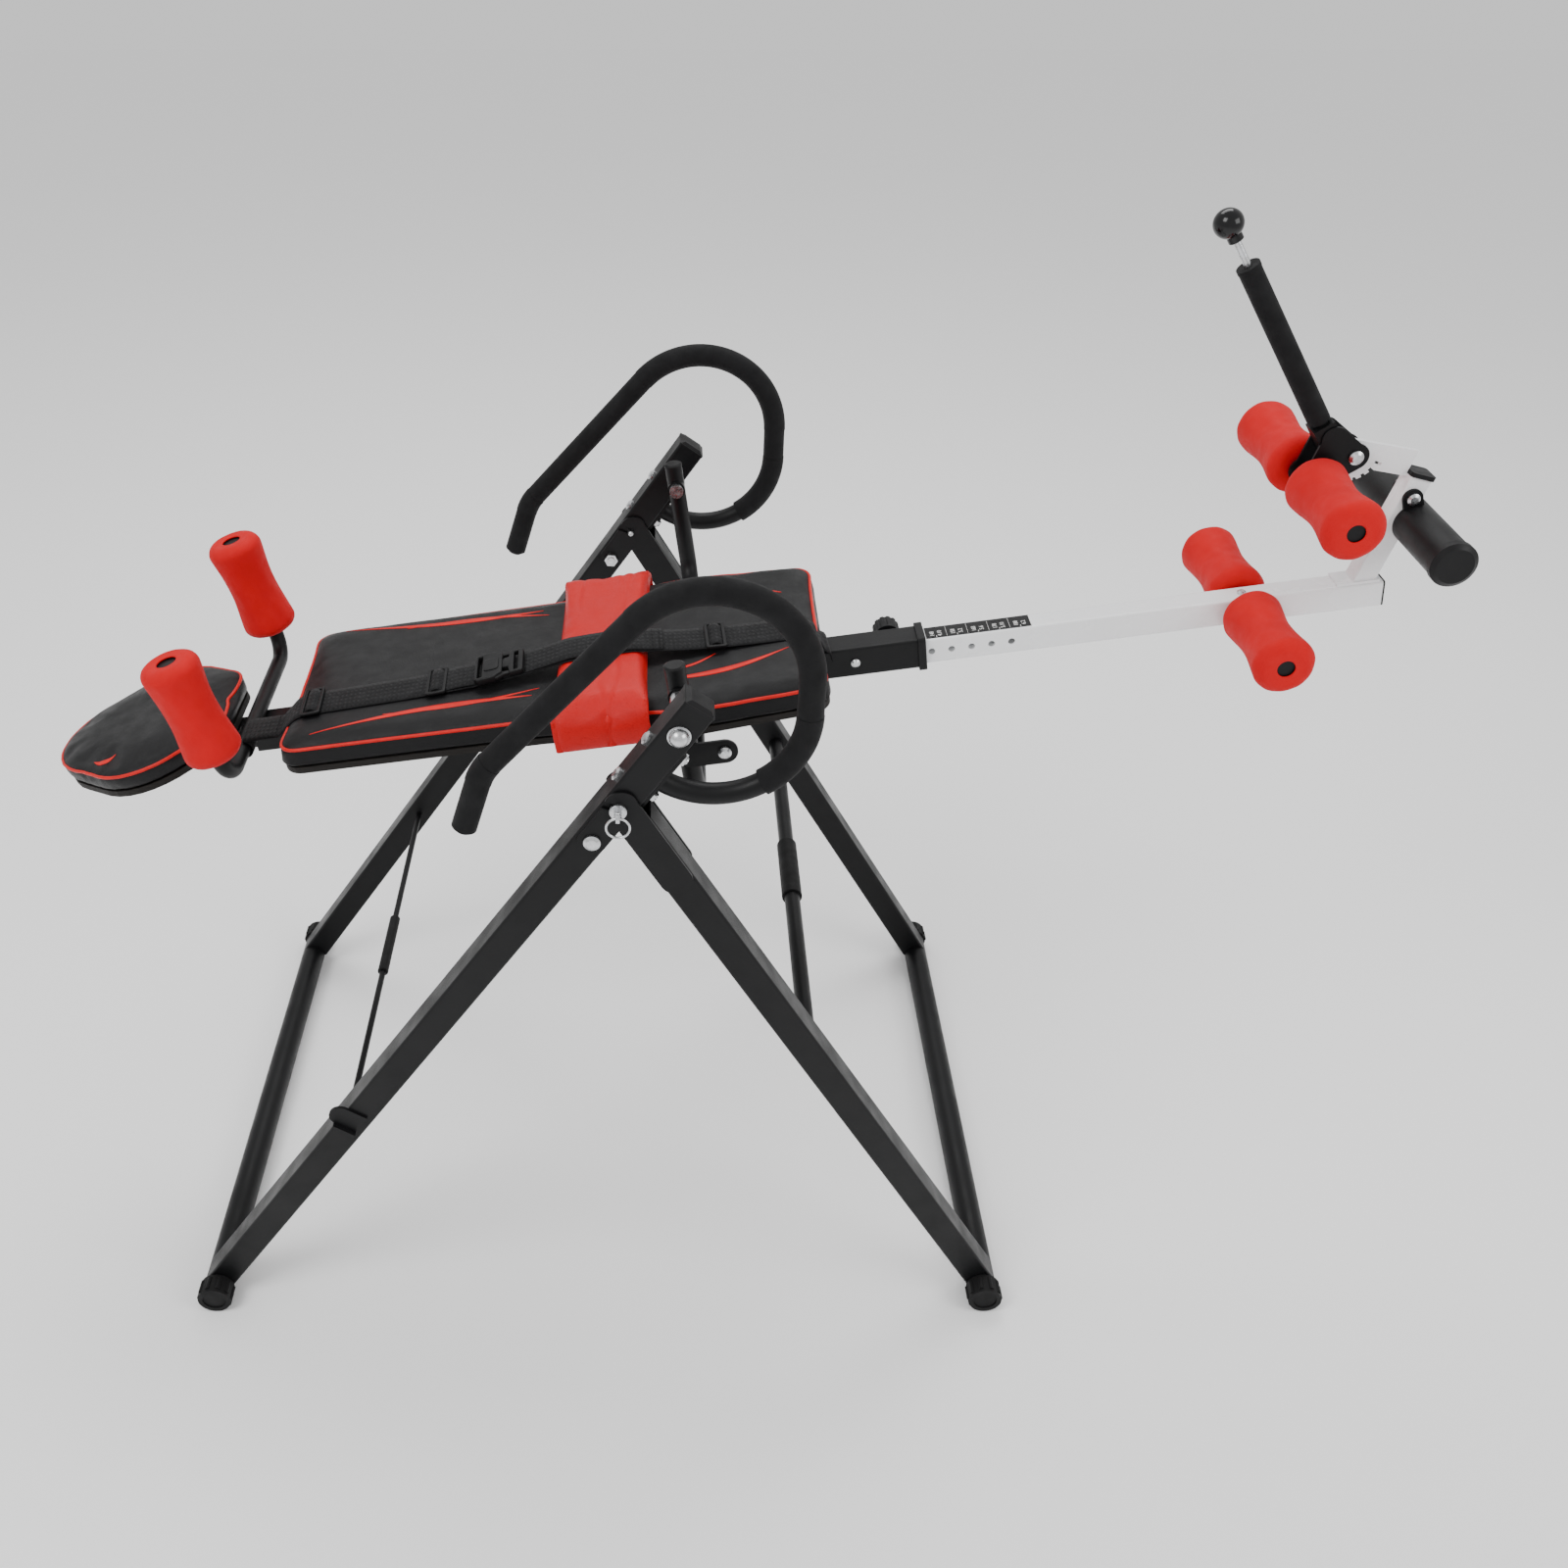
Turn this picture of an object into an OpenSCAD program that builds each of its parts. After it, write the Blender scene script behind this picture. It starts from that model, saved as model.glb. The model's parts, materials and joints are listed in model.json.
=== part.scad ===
// Inversion table: folding A-frame, tilting bed, adjustable boom, ankle clamp and foam rollers.
// Millimetres. X runs along the table with the feet at +X, Y across it, Z up from the floor.

/* [Frame] */

// Overall width over the foot caps
base_w = 730; // [640:5:820]
// Pivot to front base tube, along the floor
front_reach = 596; // [480:2:700]
// Pivot to rear base tube, along the floor
rear_reach = 398; // [320:2:480]
// Height of the bed pivot above the floor
pivot_h = 875; // [760:5:1000]
// Outside size of the square leg tube
leg_size = 35; // [32:1:40]
// Wall of the leg tube
leg_wall = 2; // [1.5:0.25:3]
// Diameter of the base tubes
base_tube_d = 35; // [32:1:40]
// Diameter of the foot caps over their ribs
cap_d = 46; // [42:1:56]
// Length of a foot cap
cap_len = 25; // [20:1:60]
// How far each main leg rises past the pivot
leg_rise = 33; // [22:1:50]

/* [Folding joint] */

// Pivot to lock pin, along the leg
lock_drop = 107; // [98:1:120]
// Lock pin to fold bolt, along the leg
fold_step = 48; // [40:1:60]
// Diameter of the lock pin
lock_d = 8; // [6:0.5:10]
// Diameter of the fold bolt
fold_d = 10; // [8:0.5:12]

/* [Handles] */

// Centreline radius of the top of the handle loop
loop_r = 99; // [80:1:110]
// Centreline radius of the bottom of the handle loop
low_r = 94; // [80:1:110]
// Straight piece on the foot side of the loop
loop_side = 38; // [10:1:80]
// Straight run from the loop to the wrist bend
reach_len = 219; // [160:1:260]
// Slope of the straight run
reach_slope = 47.6; // [35:0.5:60]
// Extra turn at the wrist bend
wrist_turn = 24.4; // [10:0.2:40]
// Length of the end grip past the wrist bend
tip_len = 60; // [40:1:90]
// Diameter of the handle tube
handle_d = 23; // [19:0.5:26]
// Diameter of the foam grip
grip_d = 28; // [26.5:0.5:34]

/* [Bed] */

// Tilt of the bed as it stands, head end down
bed_tilt = 8.5; // [0:0.5:20]
// Pivot axis to spine centreline
spine_drop = 135; // [120:1:150]
// Outside size of the spine tube
spine_size = 38; // [36:0.5:44]
// Wall of the spine and the boom
spine_wall = 2; // [1.5:0.1:2.2]
// Centre plane to cradle upright
cradle_y = 255; // [225:1:265]
// Diameter of the cradle tube
cradle_d = 22; // [19:0.5:25]
// Length of the back pad
pad_len = 648; // [520:2:720]
// Pivot to the foot end of the back pad
pad_foot = 163; // [110:1:190]
// Width of the back pad at the hips
pad_hip_w = 336; // [280:2:370]
// Width of the back pad at the shoulders
pad_neck_w = 296; // [240:2:320]
// Thickness of the back pad without its board
pad_t = 30; // [20:1:40]
// Thickness of the boards under the pads
board_t = 8; // [6:0.5:12]
// Width of the lumbar cushion along the bed
cushion_w = 122; // [80:2:160]
// Length of the head pad
head_len = 236; // [180:2:280]
// Width of the head pad
head_w = 244; // [180:2:260]
// Tilt of the head pad against the bed
head_tilt = 9; // [4:0.5:14]
// Width of the webbing strap
strap_w = 50; // [25:1:60]

/* [Boom and ankle clamp] */

// Outside size of the boom tube
boom_size = 32; // [28:0.5:33]
// Pivot to the foot end of the boom
boom_end = 806; // [700:2:860]
// Spacing of the height holes
hole_pitch = 23.5; // [18:0.5:26]
// Pivot to the heel axle
heel_u = 654; // [600:2:690]
// Length of one foam roller
roller_len = 130; // [90:1:150]
// Diameter of a foam roller near its ends
roller_d = 69; // [54:1:76]
// Waist depth of a foam roller
roller_dip = 6; // [2:0.5:8]
// Diameter of the roller axles
axle_d = 16; // [12:0.5:20]
// Length of the foot rest bar
foot_bar_len = 236; // [180:2:320]
// Diameter of the foot rest bar
foot_bar_d = 48; // [36:1:56]
// Slope of the ankle lever against the bed
lever_slope = 116; // [100:1:125]
// Length of the lever tube
lever_len = 232; // [150:2:280]
// Diameter of the ball knob
ball_d = 31; // [26:1:40]

/* [Cross bars] */

// Height of the front cross bar
front_bar_h = 310; // [240:5:400]
// Diameter of the front cross bar
front_bar_d = 8; // [7:1:16]
// Height of the rear cross bar
rear_bar_h = 440; // [360:5:480]
// Diameter of the rear cross bar
rear_bar_d = 20; // [16:1:25]
// Length of the rubber bumpers
bumper_len = 110; // [80:5:180]

/* [Hidden] */

$fn = 48;
run_gap = 0.06;
recess = 7;
seat_gap = 0.05;
body_gap = 0.4;
plate_t = 3;

leg_half = leg_size / 2;
leg_y = base_w / 2 - cap_len - leg_half - 0.5;
cap_r = cap_d / 2;
base_z = cap_r - 0.5;
rise = pivot_h - base_z;
main_slope = atan2(rise, front_reach);

fold_s = lock_drop + fold_step;
main_dir = [cos(main_slope), sin(main_slope)];
main_len = norm([front_reach, rise]);

// The rear leg line meets the main leg line a little above the lock pin
meet_s = lock_drop - 5;
meet = [-meet_s * main_dir[0], -meet_s * main_dir[1]];
rear_vec = [rear_reach - meet[0], -rise - meet[1]];
rear_len = norm(rear_vec);
rear_dir = rear_vec / rear_len;
rear_ang = atan2(rear_dir[1], rear_dir[0]);
fan = rear_ang - (main_slope - 180);
rear_start = (leg_half + 2 + leg_half * abs(cos(fan))) / abs(sin(fan));

grip_r = grip_d / 2;
tube_r = handle_d / 2;
handle_s = lock_drop - 51;
bolt_span = 53;

spine_half = spine_size / 2;
boom_half = boom_size / 2;
board_w0 = -spine_drop + spine_half;
pad_w0 = board_w0 + board_t;
pad_top = pad_w0 + pad_t;
pad_head = pad_foot - pad_len;
spine_head = pad_head - 62;
spine_foot = pad_foot + 107;
pin_u = spine_foot - 31;
boom_in = pin_u - 76;
boom_w = -spine_drop;
boom_top = boom_w + boom_half;
bar_u = spine_head + 10;
bar_r = 9.5;
bar_w = board_w0 + bar_r;
bar_lean = 7;
bar_y = 150;
post_slope = 67.5;
post_size = 25;
post_half = post_size / 2;
post_len = 132;
post_u = boom_end - 22;
clamp_u = post_u - 27;
clamp_w = 42;
instep_u = clamp_u - 45;
instep_w = 20;
plate_in = post_half + body_gap;
lever_u = clamp_u - 22;
lever_w = 52;
lever_r = 9.5;
neck_size = 30;
neck_u = spine_head - 48;
head_mid = 42 - head_len / 2;
foot_bar_w = -50;
foot_bar_off = post_half + foot_bar_d * 0.12;
foot_bar_u = post_u + (foot_bar_w - boom_top) / tan(post_slope) + foot_bar_off / sin(post_slope);
foot_bar_end_r = foot_bar_d / 2 + 1.5;
saddle_w = foot_bar_w + foot_bar_d / 2 + 8;
saddle_u = post_u + (saddle_w - boom_top) / tan(post_slope);

// The X origin is the middle of the whole length, from the head pad to the foot rest bar
head_all = bed_tilt + head_tilt;
head_reach = neck_u * cos(bed_tilt) + spine_drop * sin(bed_tilt) + (head_mid - head_len / 2) * cos(head_all)
    - (neck_size / 2 + board_t + pad_t - 4) * sin(head_all);
foot_reach = foot_bar_u * cos(bed_tilt) - foot_bar_w * sin(bed_tilt) + foot_bar_end_r;
pivot_x = -(head_reach + foot_reach) / 2;

steel = "#1f2023";
plastic = "#161719";
foam = "#26272a";
zinc = "#c3c6ca";
white_paint = "#eef0f1";
vinyl = "#1b1b1d";
red_foam = "#e0281f";
webbing = "#121213";
board = "#231f1c";

// ---- shared shapes ----

module at_pivot() {
    translate([pivot_x, 0, pivot_h]) children();
}

module on_bed() {
    at_pivot() rotate([0, -bed_tilt, 0]) children();
}

// Frame along the main leg: x up the leg, z square to it, origin at the pivot
module on_leg() {
    at_pivot() rotate([0, -main_slope, 0]) children();
}

// Frame along the rear leg: x down the leg from where it meets the main leg
module on_rear() {
    at_pivot() translate([meet[0], 0, meet[1]]) rotate([0, -rear_ang, 0]) children();
}

module both_sides() {
    children();
    mirror([0, 1, 0]) children();
}

module rounded_box_2d(a, b, r) {
    square([a - 2 * r, b], center = true);
    square([a, b - 2 * r], center = true);
    for (i = [-1, 1])
        for (j = [-1, 1])
            translate([i * (a / 2 - r), j * (b / 2 - r)]) circle(r);
}

// Square tube along +X, from x0 to x1
module square_tube(x0, x1, size, wall, r = 3) {
    translate([x0, 0, 0]) rotate([90, 0, 90]) linear_extrude(x1 - x0) difference() {
        rounded_box_2d(size, size, r);
        rounded_box_2d(size - 2 * wall, size - 2 * wall, max(r - wall, 0.6));
    }
}

module rod_y(r, y0, y1) {
    translate([0, y0, 0]) rotate([-90, 0, 0]) cylinder(h = y1 - y0, r = r);
}

module rod_x(r, x0, x1) {
    translate([x0, 0, 0]) rotate([0, 90, 0]) cylinder(h = x1 - x0, r = r);
}

module capsule_2d(x0, y0, x1, y1, r) {
    len = norm([x1 - x0, y1 - y0]);
    translate([x0, y0]) circle(r);
    translate([x1, y1]) circle(r);
    translate([x0, y0]) rotate(atan2(y1 - y0, x1 - x0))
        translate([0, 0.02 - r]) square([len, 2 * r - 0.04]);
}

// Flat shape drawn in the X-Z plane, from y0 to y1
module slab_xz(y0, y1) {
    translate([0, y1, 0]) rotate([90, 0, 0]) linear_extrude(y1 - y0) children();
}

module ring_2d(ro, ri) {
    difference() {
        circle(ro);
        if (ri > 0) circle(ri);
    }
}

// Bent piece of tube in the X-Z plane
module bend_xz(cx, cz, bend_r, a0, a1, ro, ri) {
    translate([cx, 0, cz]) rotate([90, 0, 0]) rotate([0, 0, a0])
        rotate_extrude(angle = a1 - a0) translate([bend_r, 0]) ring_2d(ro, ri);
}

// Straight piece of tube in the X-Z plane
module bar_xz(x0, z0, ang, len, ro, ri) {
    translate([x0, 0, z0]) rotate([0, 90 - ang, 0]) linear_extrude(len) ring_2d(ro, ri);
}

module hex_nut(across, h) {
    cylinder(h = h, r = across / sqrt(3), $fn = 6);
}

module pan_head(r, h) {
    cylinder(h = h * 0.55, r = r);
    translate([0, 0, h * 0.55]) cylinder(h = h * 0.45, r1 = r, r2 = r * 0.6);
}

// ---- fixed frame ----

module base_tube() {
    translate([0, 0, base_z]) difference() {
        rod_y(base_tube_d / 2, -base_w / 2 + 5, base_w / 2 - 5);
        rod_y(base_tube_d / 2 - leg_wall, -base_w / 2, base_w / 2);
    }
}

module foot_cap() {
    rib_r = cap_d / 15;
    body_r = cap_r - rib_r * 0.7;
    translate([0, base_w / 2 - cap_len, base_z]) difference() {
        union() {
            rod_y(body_r, 0, cap_len);
            for (k = [0 : 9])
                rotate([0, 36 * k + 18, 0]) translate([0, 0, cap_r - rib_r]) rod_y(rib_r, 4, cap_len - 4);
            translate([-8, 2, -base_z]) cube([16, cap_len - 5, base_z - base_tube_d / 2 + 2]);
        }
        rod_y(base_tube_d / 2 + seat_gap, -1, cap_len - 4.9);
        rod_y(body_r - 6, cap_len - 1.5, cap_len + 1);
    }
}

module foot_caps() {
    both_sides() foot_cap();
}

module front_place() {
    translate([pivot_x - front_reach, 0, 0]) children();
}

module rear_place() {
    translate([pivot_x + rear_reach, 0, 0]) children();
}

module leg_holes() {
    rod_y(6 + seat_gap, -leg_size, leg_size);
    translate([-lock_drop, 0, 0]) rod_y(lock_d / 2 + run_gap, -leg_size, leg_size);
    translate([-fold_s, 0, 0]) rod_y(fold_d / 2 + seat_gap, -leg_size, leg_size);
    for (i = [-1, 1])
        translate([-handle_s + i * bolt_span / 2, 0, -leg_size]) cylinder(h = 2 * leg_size, r = 4 + seat_gap);
}

module main_leg() {
    difference() {
        translate([0, leg_y, 0]) on_leg() difference() {
            square_tube(-main_len, leg_rise, leg_size, leg_wall);
            leg_holes();
        }
        front_place() translate([0, 0, base_z]) rod_y(base_tube_d / 2, 0, base_w);
        front_place() translate([-60, leg_y - 40, -60]) cube([120, 80, 60 + base_z]);
    }
}

module leg_end_cap() {
    translate([0, leg_y, 0]) on_leg() {
        translate([leg_rise - 12, 0, 0]) rotate([90, 0, 90]) linear_extrude(12)
            rounded_box_2d(leg_size - 2 * leg_wall - 0.3, leg_size - 2 * leg_wall - 0.3, 1);
        translate([leg_rise, 0, 0]) rotate([90, 0, 90]) linear_extrude(2.5)
            rounded_box_2d(leg_size + 1, leg_size + 1, 3);
        translate([leg_rise + 2.5, 0, 0]) rotate([90, 0, 90])
            linear_extrude(3, scale = 0.72) square(leg_size - 2, center = true);
    }
}

// Catch plate welded on the outer face of one main leg, with a turned-out lower edge
module leg_catch() {
    catch_s = main_len - (front_bar_h + 20 - base_z) / main_dir[1];
    translate([0, leg_y, 0]) on_leg() translate([-catch_s, leg_half, 0]) {
        slab_xz(-0.5, 3) {
            translate([-14, -8]) square([28, leg_half + 10]);
            translate([0, leg_half + 2]) circle(14);
        }
        translate([-17, -0.5, -8]) cube([3.5, 9.5, leg_half + 12]);
    }
}

module front_cross_bar() color(steel) {
    bar_x = -front_reach + (front_bar_h - base_z) / main_dir[1] * main_dir[0];
    translate([pivot_x + bar_x, 0, front_bar_h])
        rod_y(front_bar_d / 2, -leg_y + leg_half, leg_y - leg_half);
}

module front_bumper() color(plastic) {
    bar_x = -front_reach + (front_bar_h - base_z) / main_dir[1] * main_dir[0];
    translate([pivot_x + bar_x, 0, front_bar_h]) difference() {
        rod_y(front_bar_d / 2 + 3, -bumper_len / 2, bumper_len / 2);
        rod_y(front_bar_d / 2 + seat_gap, -bumper_len, bumper_len);
    }
}

// ---- handles ----

// Loop centreline: from the leg, round the loop, then out to the wrist bend and the tip
end_q = leg_half + 4;
land_s = handle_s + 7;
low_c = [(low_r - land_s) * main_dir[0] + end_q * main_dir[1],
    (low_r - land_s) * main_dir[1] - end_q * main_dir[0]];
loop_c = [low_c[0] + low_r - loop_r, low_c[1] + loop_side];
run_ang = 180 + reach_slope;
run_0 = [loop_c[0] + loop_r * cos(90 + reach_slope), loop_c[1] + loop_r * sin(90 + reach_slope)];
run_1 = [run_0[0] + reach_len * cos(run_ang), run_0[1] + reach_len * sin(run_ang)];
wrist_r = 60;
wrist_c = [run_1[0] + wrist_r * cos(run_ang + 90), run_1[1] + wrist_r * sin(run_ang + 90)];
tip_ang = run_ang + wrist_turn;
run_2 = [wrist_c[0] + wrist_r * cos(tip_ang - 90), wrist_c[1] + wrist_r * sin(tip_ang - 90)];
grip_from = -58;

// Solid rod along the whole handle path. Straight runs are a little thinner and lap into the bends
module handle_run(r, from_ang, tip_cut) {
    lap = 1;
    s = r - 0.5;
    bend_xz(low_c[0], low_c[1], low_r, from_ang, 0, r, 0);
    bar_xz(low_c[0] + low_r, low_c[1] - lap, 90, loop_side + 2 * lap, s, 0);
    bend_xz(loop_c[0], loop_c[1], loop_r, 0, 90 + reach_slope, r, 0);
    bar_xz(run_0[0] - lap * cos(run_ang), run_0[1] - lap * sin(run_ang), run_ang, reach_len + 2 * lap, s, 0);
    bend_xz(wrist_c[0], wrist_c[1], wrist_r, run_ang - 90, tip_ang - 90, r, 0);
    bar_xz(run_2[0] - lap * cos(tip_ang), run_2[1] - lap * sin(tip_ang), tip_ang, tip_len - tip_cut + lap, s, 0);
}

module handle() {
    translate([0, leg_y, 0]) at_pivot() difference() {
        handle_run(tube_r, main_slope - 181, 4);
        handle_run(tube_r - 1.8, main_slope - 178, 2);
    }
    translate([0, leg_y, 0]) on_leg() difference() {
        translate([-handle_s - bolt_span / 2 - 12, -14, -leg_half - 4]) cube([bolt_span + 24, 28, 4]);
        for (i = [-1, 1])
            translate([-handle_s + i * bolt_span / 2, 0, -leg_size]) cylinder(h = leg_size, r = 4 + seat_gap);
    }
}

module grip() {
    translate([0, leg_y, 0]) at_pivot() {
        difference() {
            handle_run(grip_r, grip_from, 0);
            handle_run(tube_r + seat_gap, grip_from - 2, 3.6);
        }
        translate([run_2[0] + tip_len * cos(tip_ang), 0, run_2[1] + tip_len * sin(tip_ang)])
            rotate([0, 90 - tip_ang, 0]) translate([0, 0, -0.5])
                cylinder(h = 4.5, r1 = grip_r - 1, r2 = grip_r - 5);
    }
}

// Bolts of the frame: two through each handle plate, one fold bolt each side
module frame_bolts() color(zinc) {
    both_sides() translate([0, leg_y, 0]) on_leg() {
        for (i = [-1, 1])
            translate([-handle_s + i * bolt_span / 2, 0, 0]) {
                translate([0, 0, -leg_half - 13]) cylinder(h = leg_size + 13, r = 4);
                translate([0, 0, leg_half]) pan_head(7.5, 4.5);
                translate([0, 0, -leg_half - 4 - 6.5]) hex_nut(13, 6.5);
            }
        translate([-fold_s, 0, 0]) {
            shank = leg_half + plate_t + 2 * body_gap;
            rod_y(fold_d / 2, -shank - 9, shank);
            translate([0, shank, 0]) rotate([-90, 0, 0]) pan_head(9, 5);
            translate([0, -shank, 0]) rotate([90, 0, 0]) hex_nut(16, 7);
        }
    }
}

// Pivot bolts with dome nut, spacer and inner washer
module pivot_axles() color(zinc) {
    bush_out = cradle_y + 13;
    both_sides() at_pivot() {
        rod_y(6, cradle_y - 19, leg_y + leg_half + 2);
        rod_y(9, bush_out + body_gap, leg_y - leg_half);
        rod_y(9, cradle_y - 13 - body_gap - 6, cradle_y - 13 - body_gap);
        rod_y(12, leg_y + leg_half, leg_y + leg_half + 2);
        translate([0, leg_y + leg_half + 2, 0]) intersection() {
            sphere(10.5);
            rod_y(10.5, 0, 10.5);
        }
    }
}

// ---- rear frame ----

module rear_leg() {
    difference() {
        translate([0, leg_y, 0]) on_rear()
            square_tube(rear_start, rear_len, leg_size, leg_wall);
        rear_place() translate([0, 0, base_z]) rod_y(base_tube_d / 2, 0, base_w);
        rear_place() translate([-60, leg_y - 40, -60]) cube([120, 80, 60 + base_z]);
    }
}

module bracket_outline() {
    rotate(main_slope) capsule_2d(-fold_s, 0, -lock_drop + 8, 0, leg_half - 2);
    capsule_2d(meet[0], meet[1], meet[0] + 110 * rear_dir[0], meet[1] + 110 * rear_dir[1], leg_half);
}

// Two plates straddle the main leg. The notch lets the lock pin out on the folding side
module fold_bracket() {
    gap_y = leg_half + body_gap;
    translate([0, leg_y, 0]) at_pivot() difference() {
        union() {
            for (j = [0, 1]) mirror([0, j, 0]) {
                slab_xz(gap_y, gap_y + plate_t) bracket_outline();
                slab_xz(leg_half, gap_y + 0.5)
                    capsule_2d(meet[0] + 62 * rear_dir[0], meet[1] + 62 * rear_dir[1],
                        meet[0] + 110 * rear_dir[0], meet[1] + 110 * rear_dir[1], leg_half - 5);
            }
        }
        rotate([0, -main_slope, 0]) {
            translate([-fold_s, 0, 0]) rod_y(fold_d / 2 + run_gap, -leg_size, leg_size);
            translate([-lock_drop, 0, 0]) rod_y(lock_d / 2 + body_gap, -leg_size, leg_size);
            translate([-fold_s, leg_size, 0]) rotate([90, 0, 0]) rotate_extrude(angle = 40)
                translate([fold_step - lock_d / 2 - body_gap, 0]) square([lock_d + 2 * body_gap, 2 * leg_size]);
        }
    }
}

module rear_cross_x(r, y0, y1) {
    along = (rear_bar_h - base_z) / -rear_dir[1];
    translate([pivot_x + rear_reach - along * rear_dir[0], 0, rear_bar_h]) rod_y(r, y0, y1);
}

module rear_cross_bar() color(steel) {
    difference() {
        rear_cross_x(rear_bar_d / 2, -leg_y + leg_half, leg_y - leg_half);
        rear_cross_x(rear_bar_d / 2 - 1.5, -leg_y, leg_y);
    }
}

module rear_bumper() color(plastic) {
    difference() {
        rear_cross_x(rear_bar_d / 2 + 3, -bumper_len / 2, bumper_len / 2);
        rear_cross_x(rear_bar_d / 2 + seat_gap, -bumper_len, bumper_len);
    }
}

// ---- lock pins and rings ----

pin_out = leg_half + body_gap + plate_t;

module lock_pin() {
    translate([0, leg_y, 0]) on_leg() translate([-lock_drop, 0, 0]) rotate([0, main_slope, 0]) difference() {
        union() {
            rod_y(lock_d / 2, -pin_out - 4, pin_out + 12);
            translate([0, -pin_out - 4, 0]) sphere(lock_d / 2);
            rod_y(lock_d / 2 + 5, pin_out + body_gap, pin_out + body_gap + 3);
            translate([0, pin_out + 12, 0]) rod_x(6, -2, 2);
        }
        translate([0, pin_out + 13.5, 0]) rod_x(2.1, -5, 5);
    }
}

module pull_ring() {
    translate([0, leg_y, 0]) on_leg() translate([-lock_drop, 0, 0]) rotate([0, main_slope, 0])
        translate([0, pin_out + 13.5, -12]) rotate([90, 0, 0])
            rotate_extrude() translate([12, 0]) circle(1.3);
}

// ---- bed ----

module cradle_arm() {
    arm_r = cradle_d / 2;
    bend_r = 34;
    low = -spine_drop;
    on_bed() difference() {
        union() {
            translate([0, cradle_y, low + bend_r])
                linear_extrude(28 - low - bend_r) ring_2d(arm_r, arm_r - 1.8);
            translate([0, cradle_y - bend_r, low + bend_r]) rotate([90, 0, 90]) rotate([0, 0, -90])
                rotate_extrude(angle = 90) translate([bend_r, 0]) ring_2d(arm_r, arm_r - 1.8);
            translate([0, spine_half, low]) rotate([-90, 0, 0])
                linear_extrude(cradle_y - bend_r - spine_half) ring_2d(arm_r, arm_r - 1.8);
            translate([0, cradle_y, 0]) rod_y(arm_r, -13, 13);
        }
        translate([0, cradle_y, 0]) rod_y(6 + run_gap, -20, 20);
    }
}

// Lug on one upright
module cradle_lug() {
    on_bed() mirror([0, 1, 0]) translate([0, cradle_y + cradle_d / 2 - 3, 0]) slab_xz(0, 3) difference() {
        capsule_2d(0, -74, 38, -74, 14);
        translate([38, -74]) circle(4 + seat_gap);
    }
}

module cradle_arms() color(steel) {
    both_sides() cradle_arm();
    cradle_lug();
}

module cradle_caps() color(plastic) {
    both_sides() on_bed() translate([0, cradle_y, 28]) {
        cylinder(h = 2.5, r = cradle_d / 2 + 0.5);
        translate([0, 0, 2.5]) cylinder(h = 1.5, r1 = cradle_d / 2 + 0.5, r2 = cradle_d / 2 - 2);
    }
}

module spine_tube() color(steel) {
    slot_r = 3.5 + run_gap;
    on_bed() translate([0, 0, -spine_drop]) difference() {
        square_tube(spine_head, spine_foot, spine_size, spine_wall);
        translate([pin_u, 0, 0]) rod_y(slot_r, 0, spine_size);
        translate([pin_u - 44, 0, 0]) rod_y(2.5 + seat_gap, -spine_size, 0);
        for (u = [pad_head + 90, pad_foot - 70])
            translate([u, 0, 0]) cylinder(h = spine_size, r = 3 + seat_gap);
    }
}

module spine_collar() color(plastic) {
    on_bed() translate([0, 0, -spine_drop]) {
        translate([spine_foot, 0, 0]) rotate([90, 0, 90]) linear_extrude(9) difference() {
            rounded_box_2d(spine_size + 6, spine_size + 6, 4);
            rounded_box_2d(boom_size + 1.4, boom_size + 1.4, 3.3);
        }
    }
}

// Bolts of the bed: lug bolt, tension screw and the board studs, flush inside the spine
module bed_bolts() color(zinc) {
    on_bed() {
        mirror([0, 1, 0]) translate([38, cradle_y + cradle_d / 2, -74]) {
            rod_y(4, -12, 0);
            rotate([-90, 0, 0]) pan_head(7, 4.5);
            translate([0, -3, 0]) rotate([90, 0, 0]) hex_nut(13, 6.5);
        }
        translate([pin_u - 44, -spine_half, -spine_drop]) {
            rotate([90, 0, 0]) pan_head(5.5, 4);
            rod_y(2.5, 0, spine_wall);
        }
        for (u = [pad_head + 90, pad_foot - 70])
            translate([u, 0, board_w0 - spine_wall]) cylinder(h = spine_wall + board_t - 2, r = 3);
    }
}

// Waisted outline of the back pad, seen from above, in from the edge by m
module back_outline(m) {
    r = 26;
    hip = pad_hip_w / 2 - m;
    neck = pad_neck_w / 2 - m;
    foot = pad_foot - m;
    head = pad_head + m;
    hip_u = pad_foot - 150;
    mid_u = pad_foot - 330;
    hull() {
        for (j = [-1, 1]) {
            translate([foot - r, j * (hip - 12 - r)]) circle(r, $fn = 32);
            translate([hip_u, j * (hip - 60)]) circle(60, $fn = 32);
            translate([mid_u, j * (neck - 60)]) circle(60, $fn = 32);
        }
    }
    hull() {
        for (j = [-1, 1]) {
            translate([mid_u, j * (neck - 60)]) circle(60, $fn = 32);
            translate([head + r, j * (neck - 2 - r)]) circle(r, $fn = 32);
        }
    }
}

module back_board() color(board) {
    on_bed() translate([0, 0, board_w0]) difference() {
        linear_extrude(board_t) back_outline(6);
        for (u = [pad_head + 90, pad_foot - 70])
            translate([u, 0, -1]) cylinder(h = board_t + 2, r = 3 + seat_gap);
    }
}

module back_pad() color(vinyl) {
    on_bed() translate([0, 0, pad_w0]) {
        linear_extrude(pad_t - 4) back_outline(0);
        translate([0, 0, pad_t - 4]) linear_extrude(2) back_outline(1.5);
        translate([0, 0, pad_t - 2]) linear_extrude(2) back_outline(4);
    }
}

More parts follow.
